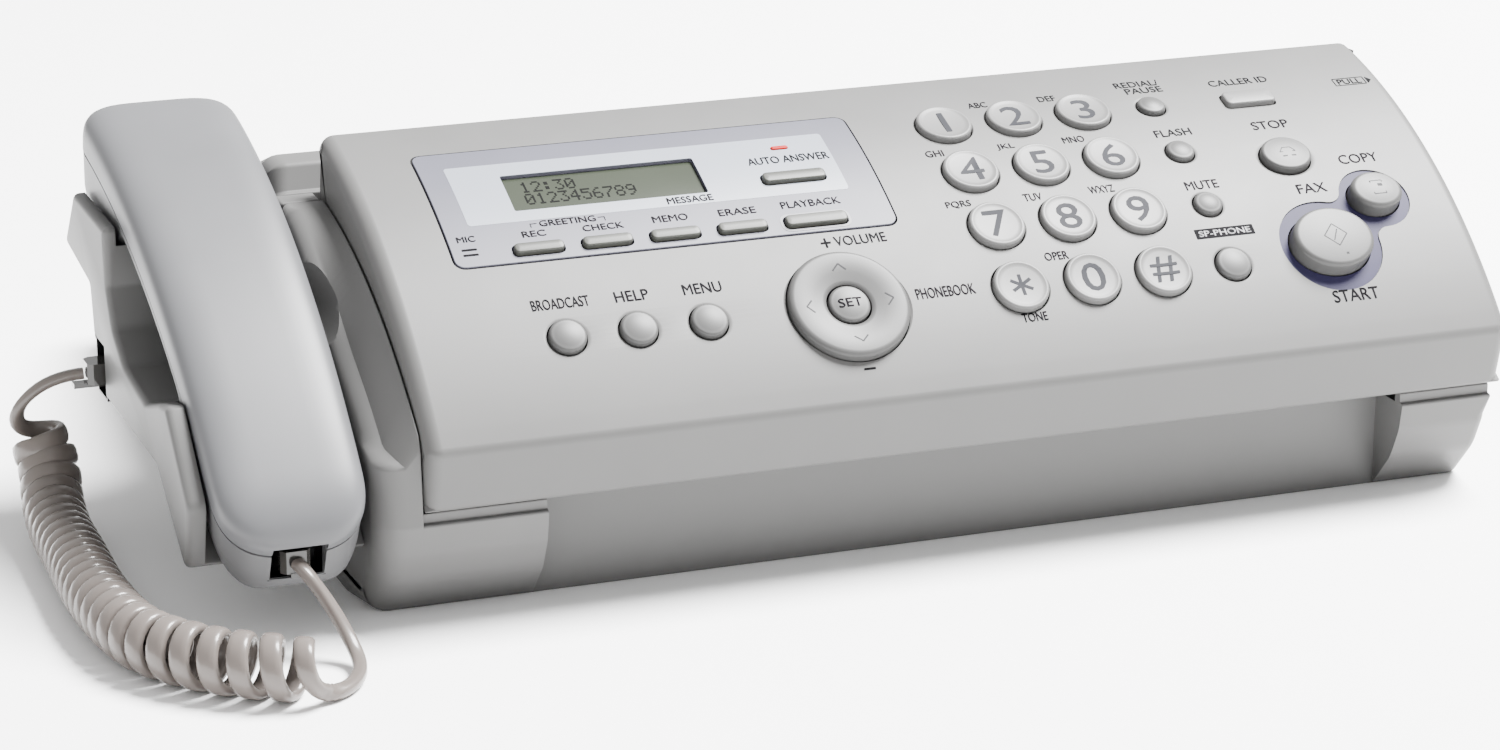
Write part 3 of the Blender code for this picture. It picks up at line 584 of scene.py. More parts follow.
def helix(route, first, last):
    """The cord's centreline round the coil's axis, from the tail that meets its start to the one at its end.
    The turns start at the side where the first tail arrives and stop where the last one leaves."""
    axis = smooth_route(route, AXIS_STEP)
    radius = COIL_RADIUS - BAND_THICKNESS / 2
    length = AXIS_STEP * (len(axis) - 1)
    turns = 0.0
    spun = []
    for number in range(len(axis)):
        spun.append(turns)
        turns += AXIS_STEP / coil_pitch(AXIS_STEP * number / length)
    tangent = (axis[1] - axis[0]).normalized()
    arm = (first - axis[0]) - tangent * (first - axis[0]).dot(tangent)
    arm.normalize()
    arms = []
    for number in range(len(axis)):
        ahead = axis[min(number + 1, len(axis) - 1)] - axis[max(number - 1, 0)]
        arm = (arm - ahead.normalized() * arm.dot(ahead.normalized())).normalized()
        arms.append((arm.copy(), ahead.normalized()))
    end_arm, end_way = arms[-1]
    leave = (last - axis[-1]) - end_way * (last - axis[-1]).dot(end_way)
    wanted = math.atan2(end_way.cross(end_arm).dot(leave), end_arm.dot(leave)) / (2 * math.pi)
    whole = round(turns - wanted) + wanted
    points = []
    ups = []
    count = int(abs(whole) * TURN_POINTS)
    number = 0
    for step in range(count + 1):
        target = turns * step / count
        while number < len(spun) - 2 and spun[number + 1] < target:
            number += 1
        share = (target - spun[number]) / max(1e-9, spun[number + 1] - spun[number])
        turn = 2 * math.pi * whole * step / count
        arm, way = arms[number]
        out = arm * math.cos(turn) + way.cross(arm) * math.sin(turn)
        points.append(axis[number].lerp(axis[number + 1], min(1.0, share)) + out * radius)
        ups.append(out)
    return points, ups


def sweep_band(points, ups, widths, name):
    """A flat band with round edges swept along its centreline, its flat side facing the given ways."""
    bm = bmesh.new()
    loops = []
    for number, here in enumerate(points):
        ahead = (points[min(number + 1, len(points) - 1)] - points[max(number - 1, 0)]).normalized()
        up = (ups[number] - ahead * ups[number].dot(ahead)).normalized()
        side = ahead.cross(up)
        ring = []
        for corner in range(BAND_SIDES):
            turn = 2 * math.pi * (corner + 0.5) / BAND_SIDES
            across = math.copysign(abs(math.cos(turn)) ** 0.7, math.cos(turn)) * widths[number] / 2
            over = math.copysign(abs(math.sin(turn)) ** 0.7, math.sin(turn)) * BAND_THICKNESS / 2
            ring.append(bm.verts.new(here + side * across + up * over))
        loops.append(ring)
    skin(bm, loops)
    return make_object(name, bm, CORD, 60)


def relax(points, fixed, rounds):
    """Evens out a centreline near its joins, keeping the points for which fixed is true."""
    for _ in range(rounds):
        middles = [(a + b) / 2 for a, b in zip(points, points[2:])]
        for number, middle in enumerate(middles, 1):
            if not fixed[number]:
                points[number] = points[number].lerp(middle, 0.5)
    return points


def make_cord():
    first = smooth_route(BASE_TAIL, TAIL_SPACING)
    last = smooth_route(HANDSET_TAIL, TAIL_SPACING)[::-1]
    coil, outs = helix(COIL_ROUTE, first[-1], last[0])
    points = first + coil + last
    ups = [Vector((0, 0, 1))] * len(first) + outs + [Vector((0, 0, 1))] * len(last)
    joins = (len(first), len(first) + len(coil))
    near = [min(abs(number - join) for join in joins) for number in range(len(points))]
    for reach_out, rounds in ((7, 12), (11, 4), (15, 2)):
        points = relax(points, [distance > reach_out for distance in near], rounds)
    points = [Vector((point.x, point.y, max(point.z, BAND_THICKNESS / 2 + 0.15))) for point in points]
    for _ in range(30):
        middle = [(a + b * 2 + c).normalized() for a, b, c in zip(ups, ups[1:], ups[2:])]
        ups = [ups[0]] + middle + [ups[-1]]
        for number in range(len(first) + 4, len(first) + len(coil) - 4):
            ups[number] = outs[number - len(first)]
    widths = []
    for number in range(len(points)):
        inside = min(number - joins[0], joins[1] - number) / 24
        widths.append(TAIL_WIDTH + (BAND_WIDTH - TAIL_WIDTH) * clamp(inside + 0.4))
    piece = sweep_band(points, ups, widths, "handset_cord")
    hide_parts("cord_base_tail", "cord_coil", "cord_handset_tail")
    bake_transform(piece)
    plugs = [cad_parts["base_plug"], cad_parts["handset_plug"]]
    for plug in plugs:
        paint(plug.name, CLEAR)


def paint(node, finish):
    """Gives a carried-over CAD node a new material."""
    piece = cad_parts[node]
    piece.data.materials.clear()
    piece.data.materials.append(finish)
    shade(piece, 40)


# ---------------------------------------------------------------- front cover


def cover_outline():
    top = [(*arc_point(PANEL_RADIUS, angle / 2), 0) for angle in range(26, 97)]
    front_edge = (*arc_point(PANEL_RADIUS, PANEL_FRONT_ANGLE), 3.2)
    back_edge = (*arc_point(PANEL_RADIUS, PANEL_BACK_ANGLE), 2.4)
    rest = [front_edge, (*LIP, 1.6), (-118.0, 30.6, 2.0), (-46.0, 84.0, 3.0), (-37.9, 88.0, 0.6)]
    return round_corners([back_edge] + top + rest)


def round_key_table():
    """Key, X, angle, half width, half length, height, width of the dish round it, and what is on it."""
    rows = []
    faces = ("1", "2", "3", "4", "5", "6", "7", "8", "9", "star", "0", "hash")
    for number, face in enumerate(faces):
        spot = (KEY_COLUMNS[number % 3], KEY_ROWS[number // 3])
        rows.append((face, *spot, 7.75, 7.75, 1.7, 0.35, "dial"))
    side_keys = (("redial", 4.0), ("flash", 4.0), ("mute", 4.0), ("speakerphone", 5.0))
    for (name, radius), row in zip(side_keys, KEY_ROWS):
        rows.append((name, SIDE_COLUMN, row, radius, radius, 1.7, 0.9, "dome"))
    for name, x in (("broadcast", -81.2), ("help", -61.9), ("menu", -42.6)):
        rows.append((name, x, KEY_ROWS[3], 5.0, 5.0, 1.9, 1.1, "dome"))
    rows.append(("stop", 138.2, 29.0, 7.3, 6.4, 2.4, 1.5, "dome"))
    rows.append(("copy", 157.8, 34.9, 7.6, 6.4, 4.6, 0.3, "cap"))
    rows.append(("start", 138.8, 39.5, 11.8, 9.8, 4.8, 0.3, "cap"))
    return rows


NAVIGATOR = (-3.8, 40.45, 16.5, 6.2)
CALLER = (138.0, 20.7, 7.6, 3.0)
BEZEL_KEYS = (
    ("record", -81.0, 31.0, 6.8, 1.7),
    ("check", -62.2, 31.0, 6.8, 1.7),
    ("memo", -43.4, 31.0, 6.8, 1.7),
    ("erase", -24.6, 31.0, 6.8, 1.7),
    ("playback", -3.8, 31.0, 8.7, 1.9),
    ("auto_answer", -4.4, 25.5, 8.9, 1.9),
)


def key_hole_cutter():
    bm = bmesh.new()
    for _, x, degrees, half_x, half_y, _, dish, _ in round_key_table():
        hole = half_x + KEY_HOLE_GAP
        rings = [(hole, -8), (hole, -0.28 * dish - 0.1), (hole + dish, 0.04), (hole + dish + 1.5, 1.0)]
        turned(rings, on_panel(x, degrees), 56, (half_y + KEY_HOLE_GAP) / hole, bm)
    x, degrees, outer, _ = NAVIGATOR
    rings = [(outer + 0.4, -8), (outer + 0.4, -0.4), (outer + 1.2, 0.04), (outer + 2.7, 1.0)]
    turned(rings, on_panel(x, degrees), 80, 1.0, bm)
    return bm


def slot_cutter(x, degrees, half_x, half_y):
    bm = bmesh.new()
    wide, long = half_x + KEY_HOLE_GAP, half_y + KEY_HOLE_GAP
    where = on_panel(x, degrees)
    return skin(bm, [ring_on(bm, where, wide, long, 1.7, end) for end in (-KEY_SLOT_DEPTH, KEY_SLOT_DEPTH)])


def ring_on(bm, where, half_x, half_y, radius, height):
    """The vertices of a rectangle with round corners, at a height over a place."""
    radius = min(radius, 0.98 * min(half_x, half_y))
    corner = [(half_x, half_y), (-half_x, half_y), (-half_x, -half_y), (half_x, -half_y)]
    outline = round_corners([(u, v, radius) for u, v in corner])
    return [bm.verts.new(where @ Vector((*point, height))) for point in outline]


def make_front_cover():
    bm = rounded_prism(cover_outline(), COVER_LOW.x, COVER_HIGH.x, side_rounding, side_rounding, 6)
    cover = make_object("cover_shell", bm, CASING)
    inside = [arc_point(PANEL_RADIUS - COVER_WALL, 12.7 + 1.177 * step) for step in range(31)]
    inside += [(-130.3, 30.0), (-130.3, 20.0), (-40.4, 20.0)]
    hollow = prism(inside, COVER_LOW.x + 2.5, COVER_HIGH.x - 2.2)
    opening = panel_patch(patch_outline(BEZEL_X, BEZEL_ANGLES, BEZEL_CORNER), -9, 6)
    entrance = box((-79, 141), (-44, -34), (97.2, 102.4))
    lobes = panel_patch(dish_outline(), -0.7, 4, 1.5)
    carve(cover, [hollow, opening, entrance, key_hole_cutter(), slot_cutter(*CALLER), lobes], smooth=28)
    settle(cover)
    place(cover, "front_cover_body", "front_cover", slot="casing")


def side_rounding(point):
    """The cover's side edges are round along its top and almost square along the bottom of its skirt."""
    under = point.y < 30.0 + 0.735 * max(0.0, point.x + 119.0) + 1.2
    return 0.5 if under else 4.0


def dish_outline():
    """The outline round the start and copy keys: two circles joined by a narrow waist."""
    big, small = Vector((139.2, reach(39.5))), Vector((158.2, reach(34.9)))
    big_radius, small_radius, neck = 14.9, 10.3, 4.0
    apart = small - big
    gap = apart.length
    outline = []
    for side in (1, -1):
        # The neck is a circle that touches both lobes from outside.
        a, b = big_radius + neck, small_radius + neck
        along = (gap * gap + a * a - b * b) / (2 * gap)
        off = math.sqrt(a * a - along * along)
        unit = apart.normalized()
        normal = Vector((-unit.y, unit.x)) * side
        centre = big + unit * along + normal * off
        outline.append((centre, (big - centre).normalized() * neck, (small - centre).normalized() * neck))
    upper, lower = outline
    points = fan(upper[0], upper[2], upper[1], 8, False)
    points += fan(big, upper[1] + upper[0] - big, lower[1] + lower[0] - big, 40, True)
    points += fan(lower[0], lower[1], lower[2], 8, False)
    points += fan(small, lower[2] + lower[0] - small, upper[2] + upper[0] - small, 30, True)
    return [tuple(point) for point in points]


def fan(centre, first, last, steps, long_way):
    """Points on an arc about a centre, from one arm to another, the short way round or the long way."""
    sweep = math.atan2(first.x * last.y - first.y * last.x, first.dot(last))
    if long_way and abs(sweep) < math.pi:
        sweep -= math.copysign(2 * math.pi, sweep)
    arms = []
    for step in range(steps):
        turn = sweep * step / steps
        x = first.x * math.cos(turn) - first.y * math.sin(turn)
        y = first.x * math.sin(turn) + first.y * math.cos(turn)
        arms.append(centre + Vector((x, y)))
    return arms


def make_dish():
    bm = panel_patch(shrink(dish_outline(), 0.12), -1.3, -0.35, 1.5)
    dish = make_object("start_copy_dish", bm, DISH)
    holes = bmesh.new()
    for name, x, degrees, half_x, half_y, *_ in round_key_table():
        if name in ("start", "copy"):
            rings = [(half_x + KEY_HOLE_GAP, -6), (half_x + KEY_HOLE_GAP, 6)]
            turned(rings, on_panel(x, degrees), 56, (half_y + KEY_HOLE_GAP) / (half_x + KEY_HOLE_GAP), holes)
    carve(dish, [holes])
    place(dish, "front_cover_body", slot="casing")


def shrink(outline, amount):
    points = [Vector(point) for point in outline]
    return [tuple(point - way * amount) for point, way in zip(points, outward(points))]


# ---------------------------------------------------------------- bezel and display


def window_hole():
    return panel_patch(patch_outline(WINDOW_X, WINDOW_ANGLES, 0.6), -9, 6)


def make_bezel():
    bm = panel_patch(shrink(patch_outline(BEZEL_X, BEZEL_ANGLES, BEZEL_CORNER), 0.55), -1.6, BEZEL_TOP, 1.2)
    bezel = make_object("bezel_plate", bm, BEZEL)
    soften(bezel, 0.45, 3, 60)
    carve(bezel, [window_hole(), slot_cutter(*LAMP_HOLE)] + [slot_cutter(*row[1:]) for row in BEZEL_KEYS])
    settle(bezel)
    place(bezel, "front_cover_body", "display_bezel", slot="bezel")

    bm = panel_patch(patch_outline(INLAY_X, INLAY_ANGLES, 1.0), BEZEL_TOP - 0.1, BEZEL_TOP + 0.05, 1.2)
    inlay = make_object("bezel_inlay", bm, INLAY)
    carve(inlay, [window_hole(), slot_cutter(*BEZEL_KEYS[-1][1:]), slot_cutter(*LAMP_HOLE)])
    place(inlay, "front_cover_body", slot="bezel")

    _, x, angle, half_x, half_y = BEZEL_KEYS[-2]
    border = bmesh.new()
    where = on_panel(x, angle)
    loops = []
    for grow, radius, height in ((1.2, 2.4, -0.2), (1.2, 2.4, 0.07), (0.55, 1.9, 0.07), (0.55, 1.9, -0.2)):
        loops.append(ring_on(border, where, half_x + grow, half_y + grow, radius, BEZEL_TOP + height))
    skin(border, loops, closed=True)
    place(make_object("playback_border", border, WHITE_INK), "front_cover_body", slot="bezel")


DOT_PITCH_X = 0.52
DOT_PITCH_Y = 0.64
DOT_HEIGHTS = (-0.86, -0.76)
# Seven rows of five dots for each sign, each row as a number whose highest bit is the dot at the left.
DOT_FONT = {
    "0": (14, 17, 19, 21, 25, 17, 14),
    "1": (4, 12, 4, 4, 4, 4, 14),
    "2": (14, 17, 1, 2, 4, 8, 31),
    "3": (31, 2, 4, 2, 1, 17, 14),
    "4": (2, 6, 10, 18, 31, 2, 2),
    "5": (31, 16, 30, 1, 1, 17, 14),
    "6": (6, 8, 16, 30, 17, 17, 14),
    "7": (31, 1, 2, 4, 8, 8, 8),
    "8": (14, 17, 17, 14, 17, 17, 14),
    "9": (14, 17, 17, 15, 1, 2, 12),
    ":": (0, 12, 12, 0, 12, 12, 0),
}


def make_display():
    """The display module: a dark frame, a raised glass that fills the window, and two rows of dot-matrix
    digits."""
    frame_outline = patch_outline((WINDOW_X[0] - 4, WINDOW_X[1] + 4), (20.7, 27.1), 0.5)
    bm = panel_patch(frame_outline, -7.0, -2.6, index=1)
    panel_patch(shrink(patch_outline(WINDOW_X, WINDOW_ANGLES, 0.6), 0.25), -2.8, -0.8, bm=bm)
    module = make_object("display_module", bm, [LCD, LCD_EDGE])
    place(module, "front_cover_body", "lcd_module", slot="lcd")
    dots = bmesh.new()
    for row, words in enumerate(("12:30", "0123456789")):
        for column, letter in enumerate(words):
            for line, bits in enumerate(DOT_FONT[letter]):
                for spot in range(5):
                    if bits >> (4 - spot) & 1:
                        x = WINDOW_X[0] + 4.6 + (column * 6 + spot) * DOT_PITCH_X
                        along = reach(22.2 + 1.62 * row) + line * DOT_PITCH_Y
                        square(dots, x, x + 1.02 * DOT_PITCH_X, along, along + 0.94 * DOT_PITCH_Y)
    place(make_object("display_digits", dots, DOTS), "front_cover_body", slot="lcd")


def square(bm, x_low, x_high, near, far):
    """One dark dot of the display."""
    outline = ((x_low, near), (x_high, near), (x_high, far), (x_low, far))
    skin(bm, [[bm.verts.new(wrap(x, along, height)) for x, along in outline] for height in DOT_HEIGHTS])


# ---------------------------------------------------------------- keys


def key_rings(kind, half, top):
    """The side, rounded rim and top of a key, as (radius, height) rings from its foot to its centre."""
    rim = {"dial": 0.75, "dome": 0.9, "cap": 1.5}[kind]
    crown = {"dial": -0.28, "dome": 0.55, "cap": 0.5}[kind]
    edge = top - (crown if crown > 0 else 0)
    rings = [(half, -KEY_DEPTH), (half, edge - rim)]
    for step in range(1, 7):
        lean = math.radians(90 * step / 6)
        rings.append((half - rim * (1 - math.cos(lean)), edge - rim * (1 - math.sin(lean))))
    inside = half - rim
    if kind == "dial":
        rings += [(inside - 0.25, edge - 0.02), (inside - 0.45, edge - 0.12)]
        inside -= 0.45
        edge -= 0.12
    for step in range(1, 7):
        share = step / 6.5
        rings.append((inside * (1 - share), edge + crown * (1 - (1 - share) ** 2)))
    return rings


def top_height(rings, distance):
    """How high the top of a key stands at a distance from its centre."""
    previous = rings[-1]
    for ring in reversed(rings):
        if ring[0] >= distance:
            span = max(ring[0] - previous[0], 1e-6)
            return previous[1] + (ring[1] - previous[1]) * (distance - previous[0]) / span
        previous = ring
    return rings[-1][1]


def make_round_keys():
    for name, x, degrees, half_x, half_y, top, _, kind in round_key_table():
        where = on_panel(x, degrees)
        rings = key_rings(kind, half_x, top)
        bm = turned(rings, where, 56 if half_x > 6 else 40, half_y / half_x)

        def put(u, v, w, where=where, rings=rings, squash=half_x / half_y):
            return where @ Vector((u, v, top_height(rings, math.hypot(u, v * squash)) + w))

        if name == "star":
            for arm in range(6):
                turn = math.radians(60 * arm + 30)
                line_mark(bm, (0, 0), (3.3 * math.cos(turn), 3.3 * math.sin(turn)), put, 0.95)
        elif kind == "dial":
            letter, height = ("#", 8.0) if name == "hash" else (name, 8.8)
            lettering(letter, None, height, put, bm, 1, 0.1, stretch=1.18)
        elif name == "start":
            outline_mark(bm, ((0, 3.6), (-3.4, 0), (0, -3.6), (3.4, 0)), put, 0.32)
            line_mark(bm, (-0.9, -1.7), (0.9, 1.7), put, 0.32)
            line_mark(bm, (1.2, -6.2), (1.9, -6.2), put, 0.6)
        elif name == "copy":
            outline_mark(bm, ((-1.8, 2.3), (-1.8, -2.3), (1.8, -2.3), (1.8, 2.3)), put, 0.3)
            line_mark(bm, (0.1, 0.7), (1.5, 0.7), put, 0.9)
        elif name == "stop":
            outline_mark(bm, ((-2.4, -0.3), (-1.2, 1.3), (1.2, 1.3), (2.4, -0.3)), put, 0.26)
            line_mark(bm, (-2.0, -1.9), (2.0, -1.9), put, 0.45)
        place_key(name, bm, [KEY, DIGIT_INK] if kind == "dial" else [FUNCTION_KEY, PALE_INK])


def line_mark(bm, first, last, put, width, index=1):
    """A printed stroke from one point to another."""
    a, b = Vector(first), Vector(last)
    along = (b - a).normalized()
    side = Vector((-along.y, along.x)) * width / 2
    points = [a - side, b - side, b + side, a + side]
    heights = (-MARK_DEPTH, MARK_DEPTH)
    loops = [[bm.verts.new(put(point.x, point.y, height)) for point in points] for height in heights]
    skin(bm, loops, index=index)


def outline_mark(bm, points, put, width, index=1):
    for first, last in zip(points, points[1:] + points[:1]):
        line_mark(bm, first, last, put, width, index)


def pillow(where, half_x, half_y, radius, top, rim, crown):
    """A rectangular key with round corners, a rolled rim and a slightly raised top."""
    edge = top - crown
    rings = [(0, -KEY_DEPTH), (0, edge - rim)]
    for step in range(1, 6):
        lean = math.radians(90 * step / 5)
        rings.append((rim * (1 - math.cos(lean)), edge - rim * (1 - math.sin(lean))))
    rings += [(rim + (half_y - rim) * 0.5, edge + crown * 0.8), (rim + (half_y - rim) * 0.85, top)]
    bm = bmesh.new()
    loops = []
    for inset, height in rings:
        soft = max(0.15, radius - inset)
        loops.append(ring_on(bm, where, half_x - inset, half_y - inset, soft, height))
    return skin(bm, loops)


def make_bar_keys():
    x, degrees, half_x, half_y = CALLER
    place_key("caller_id", pillow(on_panel(x, degrees), half_x, half_y, 1.6, 1.7, 0.6, 0.15), KEY)
    for name, x, degrees, half_x, half_y in BEZEL_KEYS:
        place_key(name, pillow(on_panel(x, degrees), half_x, half_y, 1.4, 1.7, 0.5, 0.12), SMALL_KEY)


def make_navigator():
    x, degrees, outer, inner = NAVIGATOR
    where = on_panel(x, degrees)
    rings = [(inner, -KEY_DEPTH), (outer, -KEY_DEPTH), (outer, 0.9)]
    for step in range(1, 7):
        lean = math.radians(90 * step / 6)
        rings.append((outer - 1.6 * (1 - math.cos(lean)), 0.9 + 1.2 * math.sin(lean)))
    rings += [(outer - 4.5, 2.12), (inner + 3.6, 1.75), (inner + 1.2, 1.35), (inner + 0.5, 1.2), (inner, 0.8)]
    bm = turned(rings, where, 80, closed=True)
    profile = rings[3:-1]

    def put(u, v, w):
        distance = math.hypot(u, v)
        for near, far in zip(profile, profile[1:]):
            if far[0] <= distance <= near[0]:
                share = (distance - far[0]) / max(near[0] - far[0], 1e-6)
                return where @ Vector((u, v, far[1] + (near[1] - far[1]) * share + w))
        return where @ Vector((u, v, profile[-1][1] + w))

    for quarter in range(4):
        spin = Matrix.Rotation(math.radians(90 * quarter), 2)
        tip, low, high = (spin @ Vector(point) for point in ((12.2, 0.0), (10.3, 1.9), (10.3, -1.9)))
        line_mark(bm, low, tip, put, 0.42)
        line_mark(bm, tip, high, put, 0.42)
    place_key("navigator", bm, [FUNCTION_KEY, PALE_INK])

    rings = key_rings("dome", 5.7, 2.2)
    bm = turned(rings, where, 48)

    def put_set(u, v, w):
        return where @ Vector((u, v, top_height(rings, math.hypot(u, v)) + w))

    lettering("SET", 6.6, 2.7, put_set, bm, 1)
    place_key("set", bm, [FUNCTION_KEY, INK_AND_SLOT_SHADE])


# ---------------------------------------------------------------- printing on the panel, and painted shade for the microphone slots

PANEL_WORDS = (
    ("ABC", 59.0, 17.5, 5.6, 2.67),
    ("DEF", 80.0, 17.5, 5.2, 2.67),
    ("GHI", 38.2, 24.1, 5.2, 2.67),
    ("JKL", 59.4, 24.1, 5.2, 2.67),
    ("MNO", 79.8, 24.0, 6.4, 2.67),
    ("PQRS", 37.6, 30.8, 7.2, 2.67),
    ("TUV", 59.4, 30.8, 5.4, 2.67),
    ("WXYZ", 80.0, 30.7, 7.4, 2.67),
    ("OPER", 58.8, 37.6, 6.8, 2.67),
    ("TONE", 46.6, 43.5, 7.2, 2.67),
    ("REDIAL/", 109.0, 16.45, 13.4, 2.9),
    ("PAUSE", 109.8, 17.6, 11.2, 2.9),
    ("FLASH", 109.6, 24.4, 11.0, 3.02),
    ("MUTE", 109.4, 31.4, 9.8, 3.13),
    ("CALLER ID", 139.2, 17.6, 18.2, 3.02),
    ("STOP", 139.4, 24.6, 11.2, 3.48),
    ("COPY", 159.4, 30.1, 12.0, 3.48),
    ("FAX", 141.0, 33.1, 8.8, 3.36),
    ("START", 140.8, 44.85, 13.8, 3.71),
    ("BROADCAST", -80.4, 37.0, 15.6, 3.36),
    ("HELP", -61.0, 37.0, 9.2, 3.36),
    ("MENU", -41.6, 37.0, 10.6, 3.36),
    ("VOLUME", 6.2, 33.55, 14.6, 3.25),
    ("+", -3.6, 33.6, 2.8, 3.25),
    ("PHONEBOOK", 24.2, 40.0, 16.8, 3.36),
    ("-", -3.2, 46.6, 3.2, 0.5),
)
BEZEL_WORDS = (
    ("AUTO ANSWER", -3.2, 22.9, 23.2, 2.99),
    ("MESSAGE", -35.4, 26.95, 12.8, 2.42),
    ("GREETING", -70.6, 28.1, 15.4, 2.18),
    ("REC", -80.8, 29.2, 6.4, 2.18),
    ("CHECK", -61.8, 29.2, 11.2, 2.18),
    ("MEMO", -43.0, 29.0, 9.8, 2.42),
    ("ERASE", -24.2, 29.0, 10.4, 2.42),
    ("PLAYBACK", -3.2, 28.85, 16.8, 2.53),
    ("MIC", -99.2, 29.1, 4.9, 2.07),
)


def printer(x, degrees, height):
    def put(u, v, w):
        return wrap(x + u, reach(degrees) - v, height + w)

    return put


def make_printing():
    bm = bmesh.new()
    for words, x, degrees, width, height in PANEL_WORDS:
        lettering(words, width, height, printer(x, degrees, 0.0), bm)
    for words, x, degrees, width, height in BEZEL_WORDS:
        lift = BEZEL_TOP + (0.05 if words in ("AUTO ANSWER", "MESSAGE") else 0.0)
        lettering(words, width, height, printer(x, degrees, lift), bm)
    # Two dark bars of painted shade stand for the microphone slots beside MIC; no slots are cut.
    for degrees in (30.35, 30.95):
        slot_shade = patch_outline((-101.4, -97.2), (degrees - 0.12, degrees + 0.12), 0.3, 3)
        panel_patch(slot_shade, 0.1, BEZEL_TOP + 0.05, bm=bm)
    greeting = printer(-70.6, 28.1, BEZEL_TOP)
    for side in (-1, 1):
        line_mark(bm, (side * 8.4, 0.2), (side * 10.2, 0.2), greeting, 0.25, 0)
        line_mark(bm, (side * 10.2, 0.32), (side * 10.2, -1.2), greeting, 0.25, 0)
    panel_patch(patch_outline((100.9, 118.5), (36.42, 37.5), 0.2, 2), -0.03, 0.05, bm=bm)
    pull = printer(172.2, 19.3, 0.0)
    outline_mark(bm, ((-4.8, 1.7), (-4.8, -1.7), (4.8, -1.7), (4.8, 1.7)), pull, 0.34, 0)
    lettering("PULL", 7.4, 2.4, pull, bm)
    for step in range(5):
        tall = 1.5 - 0.33 * step
        line_mark(bm, (5.6 + 0.3 * step, -tall), (5.6 + 0.3 * step, tall), pull, 0.32, 0)
    place(make_object("panel_printing_and_slot_shade", bm, INK_AND_SLOT_SHADE, 50), "front_cover_body", slot="key_plastic")

    bm = bmesh.new()
    lettering("SP-PHONE", 15.4, 1.9, printer(109.7, 36.96, 0.05), bm, bold=0.03)
    place(make_object("reversed_printing", bm, WHITE_INK, 50), "front_cover_body", slot="casing")

    bm = pillow(on_panel(*LAMP_PLACE), 2.5, 0.72, 0.7, 0.8, 0.35, 0.1)
    place(make_object("status_lamp", bm, LAMP, 40), "front_cover_body", slot="lcd")


# ---------------------------------------------------------------- base, back cover and cradle


def shoulder_z(y):
    return SHOULDER_AXIS[1] + math.sqrt(SHOULDER_RADIUS**2 - (y - SHOULDER_AXIS[0]) ** 2)


FRONT_PROFILE = ((-117.5, 0.0, 1.2), (-127.0, 10.6, 14.0), (-131.2, 19.6, 12.0))


def base_side_radius(point):
    """The front left corner of the base is broad, and its other left edges are fine."""
    forward = clamp((-104.0 - point.x) / 10.0)
    low = clamp((62.0 - point.y) / 14.0)
    top = 2.4 if point.x < SHOULDER_BACK_Y - 4 and point.y > 50 else 0.0
    return 1.0 + 1.4 * clamp(point.y / 6.0) + max(top, 5.5 * forward * low)


def base_right_radius(point):
    """Round on the right, and square along the ledge under the cover."""
    return 3.5 - 3.2 * clamp((point.y - 23.0) / 3.5)


def slope_shoulder(bm):
    """Lets the shoulder's left edge fall away beside the handset."""
    for vert in bm.verts:
        if vert.co.x < SHOULDER_RIGHT - 4 and vert.co.z > 40:
            along = clamp((-48.0 - vert.co.y) / 52.0)
            rise = min(1.0, (vert.co.z - 40.0) / 18.0)
            vert.co.z -= 11.5 * along * along * (3 - 2 * along) * rise


